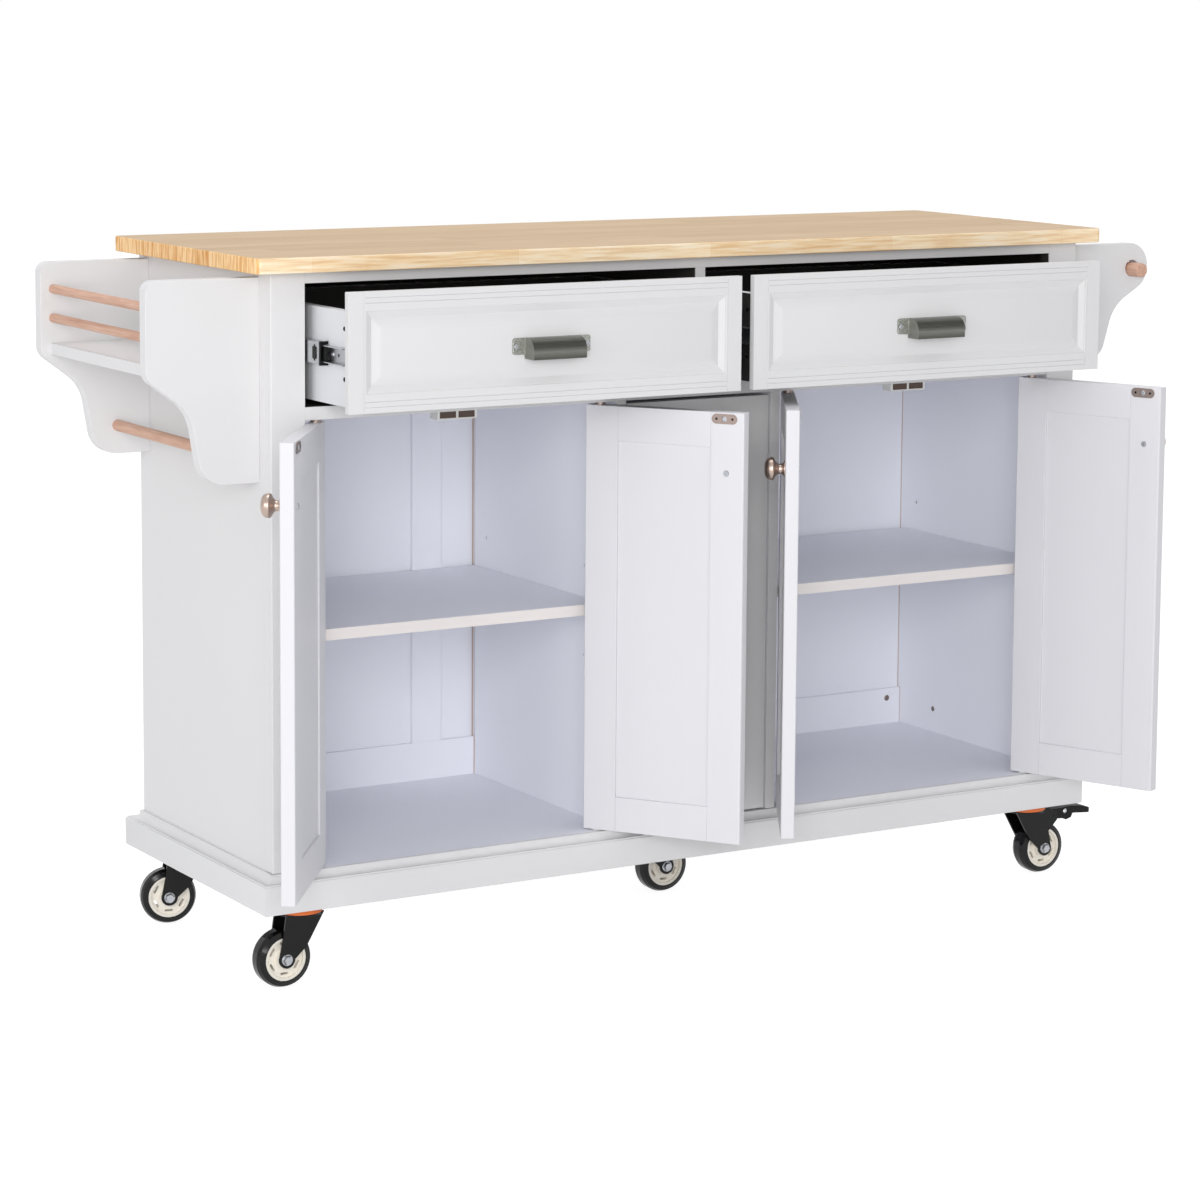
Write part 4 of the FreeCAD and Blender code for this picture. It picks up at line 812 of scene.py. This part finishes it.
# %% Screws on the drawers and the carcass
EAR_REACH, EAR_HEIGHT, EAR_FACE = 51.3, 814.5, -95.5
DRAWER_SIDES = {"left": ((-565.3, LEFTWARD), (-20.2, RIGHTWARD)),
                "right": ((20.2, LEFTWARD), (565.3, RIGHTWARD))}
BOX_SCREWS = ((-60.6, 843.8), (-60.6, 781.6))
SLIDE_HEIGHT, SLIDE_WEB = 810.0, 1.2
SLIDE_SCREWS, SLIDE_HOLES = (-32.0, 90.0, 240.0), (-48.0, 20.0, 150.0)
RAIL_SCREW_X, RAIL_SCREW_Z, RAIL_FACE = 585.3, 191.9, 404.0
SIDE_SCREW_Y, SIDE_SCREW_Z, SIDE_FACE = 319.8, 187.8, 610.0


def along_slides(hand, steps):
    """Places on the webs of a drawer's two inner slide members."""
    return [(at(x + aim.x * SLIDE_WEB, y, SLIDE_HEIGHT), aim)
            for x, aim in DRAWER_SIDES[hand] for y in steps]


for hand, sign in (("left", -1), ("right", 1)):
    body = f"drawer_{hand}"
    ears = [(at(sign * HANDLE_CENTRE + s * EAR_REACH, EAR_FACE, EAR_HEIGHT), FRONTWARD) for s in (-1, 1)]
    sides = [(at(x, y, z), aim) for x, aim in DRAWER_SIDES[hand] for y, z in BOX_SCREWS]
    heads(f"{body}_ear_screws", body, screw_zinc, ears, EAR_SCREW)
    heads(f"{body}_side_screws", body, black_coat, sides, BOX_SCREW)
    heads(f"{body}_slide_screws", body, screw_zinc, along_slides(hand, SLIDE_SCREWS),
          SLIDE_SCREW)
    # Painted shade: dark discs stand for the open holes in the slides.
    heads(f"{body}_slide_hole_shades", body, black_plastic, along_slides(hand, SLIDE_HOLES),
          SLIDE_HOLE_SHADE)
rail_places = [(at(x, RAIL_FACE, RAIL_SCREW_Z), FRONTWARD) for x in (-RAIL_SCREW_X, RAIL_SCREW_X)]
side_places = [(at(aim.x * -SIDE_FACE, SIDE_SCREW_Y, SIDE_SCREW_Z), aim) for aim in (RIGHTWARD, LEFTWARD)]
heads("back_rail_screws", "carcass", bronzed, rail_places, RAIL_SCREW)
heads("side_screws", "carcass", bronzed, side_places, SIDE_SCREW)

# %% [markdown]
# The middle member of each slide ends in a black plastic retainer that stops the balls. It is a
# C-shaped clip as high as the member, with the inner member running through its mouth. A latch
# of the same plastic shows as a cross on the member's outer side, and the lever that lets the
# drawer go lies in the inner member, just ahead of the clip. All are shapes of one thickness,
# drawn once and pushed along an axis.

# %% Plastic parts of the slides
CLIP_FRONT, CLIP_BACK = -18.5, -14.8
CLIP_PROFILE = ((0.7, -15.0), (12.2, -15.0), (12.2, 15.0), (0.7, 15.0),
                (0.7, 11.3), (9.7, 11.3), (9.7, -11.3), (0.7, -11.3))
LATCH_OUT, LATCH_THICK, LATCH_Y = 10.75, 0.45, -0.5
LATCH_PROFILE = ((-5.5, -7.5), (-1.6, -7.5), (-1.6, -10.0), (1.6, -10.0), (1.6, -7.5), (5.5, -7.5),
                 (5.5, 7.5), (1.6, 7.5), (1.6, 10.0), (-1.6, 10.0), (-1.6, 7.5), (-5.5, 7.5))
LEVER_FRONT, LEVER_BACK = -25.5, -17.5
LEVER_PROFILE = ((1.25, -8.4), (8.6, -8.4), (8.6, 8.4), (1.25, 8.4))
PLASTIC_ROUND = 0.5


def pushed(corners, step):
    """A solid of one thickness: the corners, in metres, and the way that they are pushed."""
    solid = bmesh.new()
    face = solid.faces.new([solid.verts.new(corner) for corner in corners])
    for item in bmesh.ops.extrude_face_region(solid, geom=[face])["geom"]:
        if isinstance(item, bmesh.types.BMVert):
            item.co += step
    bmesh.ops.recalc_face_normals(solid, faces=solid.faces)
    return solid


def across(wall, outward, profile, front, back):
    """A profile of (reach, height) beside the drawer wall at x = wall, pushed from front to back."""
    corners = [at(wall + outward * reach, front, SLIDE_HEIGHT + height) for reach, height in profile]
    solid = pushed(corners, Vector((0, back - front, 0)) * MM)
    rounded(solid, [e for e in solid.edges if e.calc_face_angle_signed(0) > SHARP], PLASTIC_ROUND)
    return solid


def latch(wall, outward):
    """The cross on the outer side of the middle member."""
    corners = [at(wall + outward * LATCH_OUT, LATCH_Y + y, SLIDE_HEIGHT + height)
               for y, height in LATCH_PROFILE]
    return pushed(corners, Vector((outward * LATCH_THICK, 0, 0)) * MM)


def plastic_piece(name, body, solids):
    """Black plastic solids as one piece."""
    mesh = joined(solids, name)
    mesh.materials.append(black_plastic)
    place_piece(name, mesh, body)


for hand in ("left", "right"):
    walls = [(wall, aim.x) for wall, aim in DRAWER_SIDES[hand]]
    clips = [across(wall, way, CLIP_PROFILE, CLIP_FRONT, CLIP_BACK) for wall, way in walls]
    latches = [latch(wall, way) for wall, way in walls]
    levers = [across(wall, way, LEVER_PROFILE, LEVER_FRONT, LEVER_BACK) for wall, way in walls]
    plastic_piece(f"slide_retainers_{hand}", f"slide_mid_{hand}", clips + latches)
    plastic_piece(f"slide_levers_{hand}", f"drawer_{hand}", levers)
    print("plastic parts of the", hand, "slides", len(clips + latches + levers))

# %% [markdown]
# Each wheel turns on a bolt with a hexagon head and a washer on both sides of the fork, and each
# brake pedal hangs on two bright rivets.

# %% Axle bolts, washers and pedal rivets
TRAIL, AXLE_HEIGHT, FORK_FACE, PEDAL_FACE = 25.0, 37.5, 18.0, 13.0
BOLT_SEAT = FORK_FACE + WASHER[1]
# For each caster: the x and y of its king pin, and the angle that it trails at.
CASTERS = {"front_left": (-576, 49, 180), "front_right": (576, 49, 0), "rear_left": (-576, 397, 164.5),
           "rear_right": (576, 397, 20), "middle": (46, 223, 0)}
RIVETS = ((40.0, 83.0), (64.0, 86.6))


def on_caster(name, x, y, z):
    """A place and its sideways aim, for a point drawn on a caster that trails along x."""
    middle_x, middle_y, turn = CASTERS[name]
    angle = math.radians(turn)
    place = at(middle_x + x * math.cos(angle) - y * math.sin(angle),
               middle_y + x * math.sin(angle) + y * math.cos(angle), z)
    side = math.copysign(1, y)
    return place, Vector((-math.sin(angle) * side, math.cos(angle) * side, 0))


for name in CASTERS:
    body = f"swivel_{name}"
    washers = [on_caster(name, TRAIL, s * FORK_FACE, AXLE_HEIGHT) for s in (-1, 1)]
    bolts = [on_caster(name, TRAIL, s * BOLT_SEAT, AXLE_HEIGHT) for s in (-1, 1)]
    heads(f"axle_washers_{name}", body, zinc, washers, WASHER)
    heads(f"axle_bolts_{name}", body, screw_zinc, bolts, HEX_BOLT)
for name in ("front_right", "rear_right"):
    rivets = [on_caster(name, x, s * PEDAL_FACE, z) for x, z in RIVETS for s in (-1, 1)]
    heads(f"pedal_rivets_{name}", f"pedal_{name}", zinc, rivets, PEDAL_RIVET)

# %% [markdown]
# The camera stands where the photographer stood: in front of the left half, a little above the
# worktop, with a long lens. Its place was worked out from the corners of the worktop and plinth.

# %% Camera
CAMERA_PLACE = (-2491.9, -3897.3, 1257.5)
CAMERA_YAW = 0.5381
CAMERA_PITCH = 0.1216
CAMERA_ROLL = 0.0070
FOCAL_PIXELS = 3533.5
PICTURE = 1200
SENSOR = 36.0
SHIFT_UP = -0.15


def camera_turn(yaw, pitch, roll):
    """The turn of a camera that looks back along y, from three angles in radians."""
    level = Vector((math.sin(yaw), math.cos(yaw), 0))
    ahead = level * math.cos(pitch) - Vector((0, 0, math.sin(pitch)))
    right = Vector((math.cos(yaw), -math.sin(yaw), 0))
    up = right.cross(ahead)
    tilted_right = right * math.cos(roll) + up * math.sin(roll)
    tilted_up = up * math.cos(roll) - right * math.sin(roll)
    return Matrix((tilted_right, tilted_up, -ahead)).transposed()


lens = bpy.data.cameras.new("photo_lens")
lens.sensor_width = SENSOR
lens.lens = FOCAL_PIXELS / PICTURE * SENSOR
lens.shift_y = SHIFT_UP
camera = bpy.data.objects.new("photo_camera", lens)
aimed = camera_turn(CAMERA_YAW, CAMERA_PITCH, CAMERA_ROLL).to_4x4()
camera.matrix_world = Matrix.Translation(at(*CAMERA_PLACE)) @ aimed
bpy.context.scene.collection.objects.link(camera)
bpy.context.scene.camera = camera
bpy.context.scene.view_settings.view_transform = "Standard"
print("lens", round(lens.lens, 1), "mm")

# %% [markdown]
# A large soft lamp behind the camera reaches into the open cupboards. Weaker ones on the left and
# overhead are for the side and the worktop, and the room itself is a pale sky that softens what
# they leave. The camera and the metal see white paper instead of it.

# %% Light
def lamp(name, place, target, size, watts):
    """A square soft lamp that aims at target. Places and size are metres."""
    light = bpy.data.lights.new(name, "AREA")
    light.size = size
    light.energy = watts
    holder = bpy.data.objects.new(name, light)
    holder.location = place
    holder.rotation_euler = (Vector(target) - Vector(place)).to_track_quat("-Z", "Y").to_euler()
    bpy.context.scene.collection.objects.link(holder)


LAMPS = (("camera_softbox", (-3.5, -5.6, 1.7), 2.8, 178.0),
         ("left_softbox", (-6.3, -2.6, 1.8), 2.6, 66.0),
         ("top_softbox", (0.2, 0.7, 5.6), 2.6, 88.0))
LAMP_TARGET = (0, 0, 0.5)
ROOM = 0.62
ROOM_COLOUR = (0.95, 0.965, 1.0, 1)
WHITE = (1, 1, 1, 1)
for name, place, size, watts in LAMPS:
    lamp(name, place, LAMP_TARGET, size, watts)

world = bpy.data.worlds.new("studio")
bpy.context.scene.world = world
world.use_nodes = True
tree = world.node_tree
tree.nodes.clear()


def seen_directly(tree):
    """1 for rays of the camera and those that metal and glass send on, else 0."""
    path = add(tree, "ShaderNodeLightPath").outputs
    seen = maths(tree, "MAXIMUM", path["Is Camera Ray"], path["Is Glossy Ray"])
    return maths(tree, "MAXIMUM", seen, path["Is Transmission Ray"])


room = add(tree, "ShaderNodeBackground", {"Color": ROOM_COLOUR, "Strength": ROOM})
paper = add(tree, "ShaderNodeBackground", {"Color": WHITE, "Strength": 1.0})
both = add(tree, "ShaderNodeMixShader", {0: seen_directly(tree), 1: room.outputs[0], 2: paper.outputs[0]})
add(tree, "ShaderNodeOutputWorld", {"Surface": both.outputs[0]})
print("lamps", len(LAMPS))

# %% [markdown]
# The floor is a sheet of matt white paper. It lights the part from below like real paper, and to
# the camera it is almost as bright as the background, so that hardly a shadow is left.

# %% Floor
FLOOR_HALF = 12.0
FLOOR_GLOW = 0.9
floor_mesh = bpy.data.meshes.new("studio_floor")
corners = [(x * FLOOR_HALF, y * FLOOR_HALF, 0) for x, y in ((-1, -1), (1, -1), (1, 1), (-1, 1))]
floor_mesh.from_pydata(corners, [], [(0, 1, 2, 3)])
floor = bpy.data.objects.new("studio_floor", floor_mesh)
bpy.context.scene.collection.objects.link(floor)
material = bpy.data.materials.new("white_paper_floor")
material.use_nodes = True
tree = material.node_tree
tree.nodes.clear()
matt = add(tree, "ShaderNodeBsdfDiffuse", {"Color": linear("#E6E6E6")})
shade = add(tree, "ShaderNodeBsdfDiffuse", {"Color": linear("#9A9A9A")})
glow = add(tree, "ShaderNodeEmission", {"Color": WHITE, "Strength": FLOOR_GLOW})
lit = add(tree, "ShaderNodeAddShader", {0: shade.outputs[0], 1: glow.outputs[0]})
pick = add(tree, "ShaderNodeMixShader", {0: seen_directly(tree), 1: matt.outputs[0], 2: lit.outputs[0]})
add(tree, "ShaderNodeOutputMaterial", {"Surface": pick.outputs[0]})
floor_mesh.materials.append(material)
print("floor", 2 * FLOOR_HALF, "metres wide")
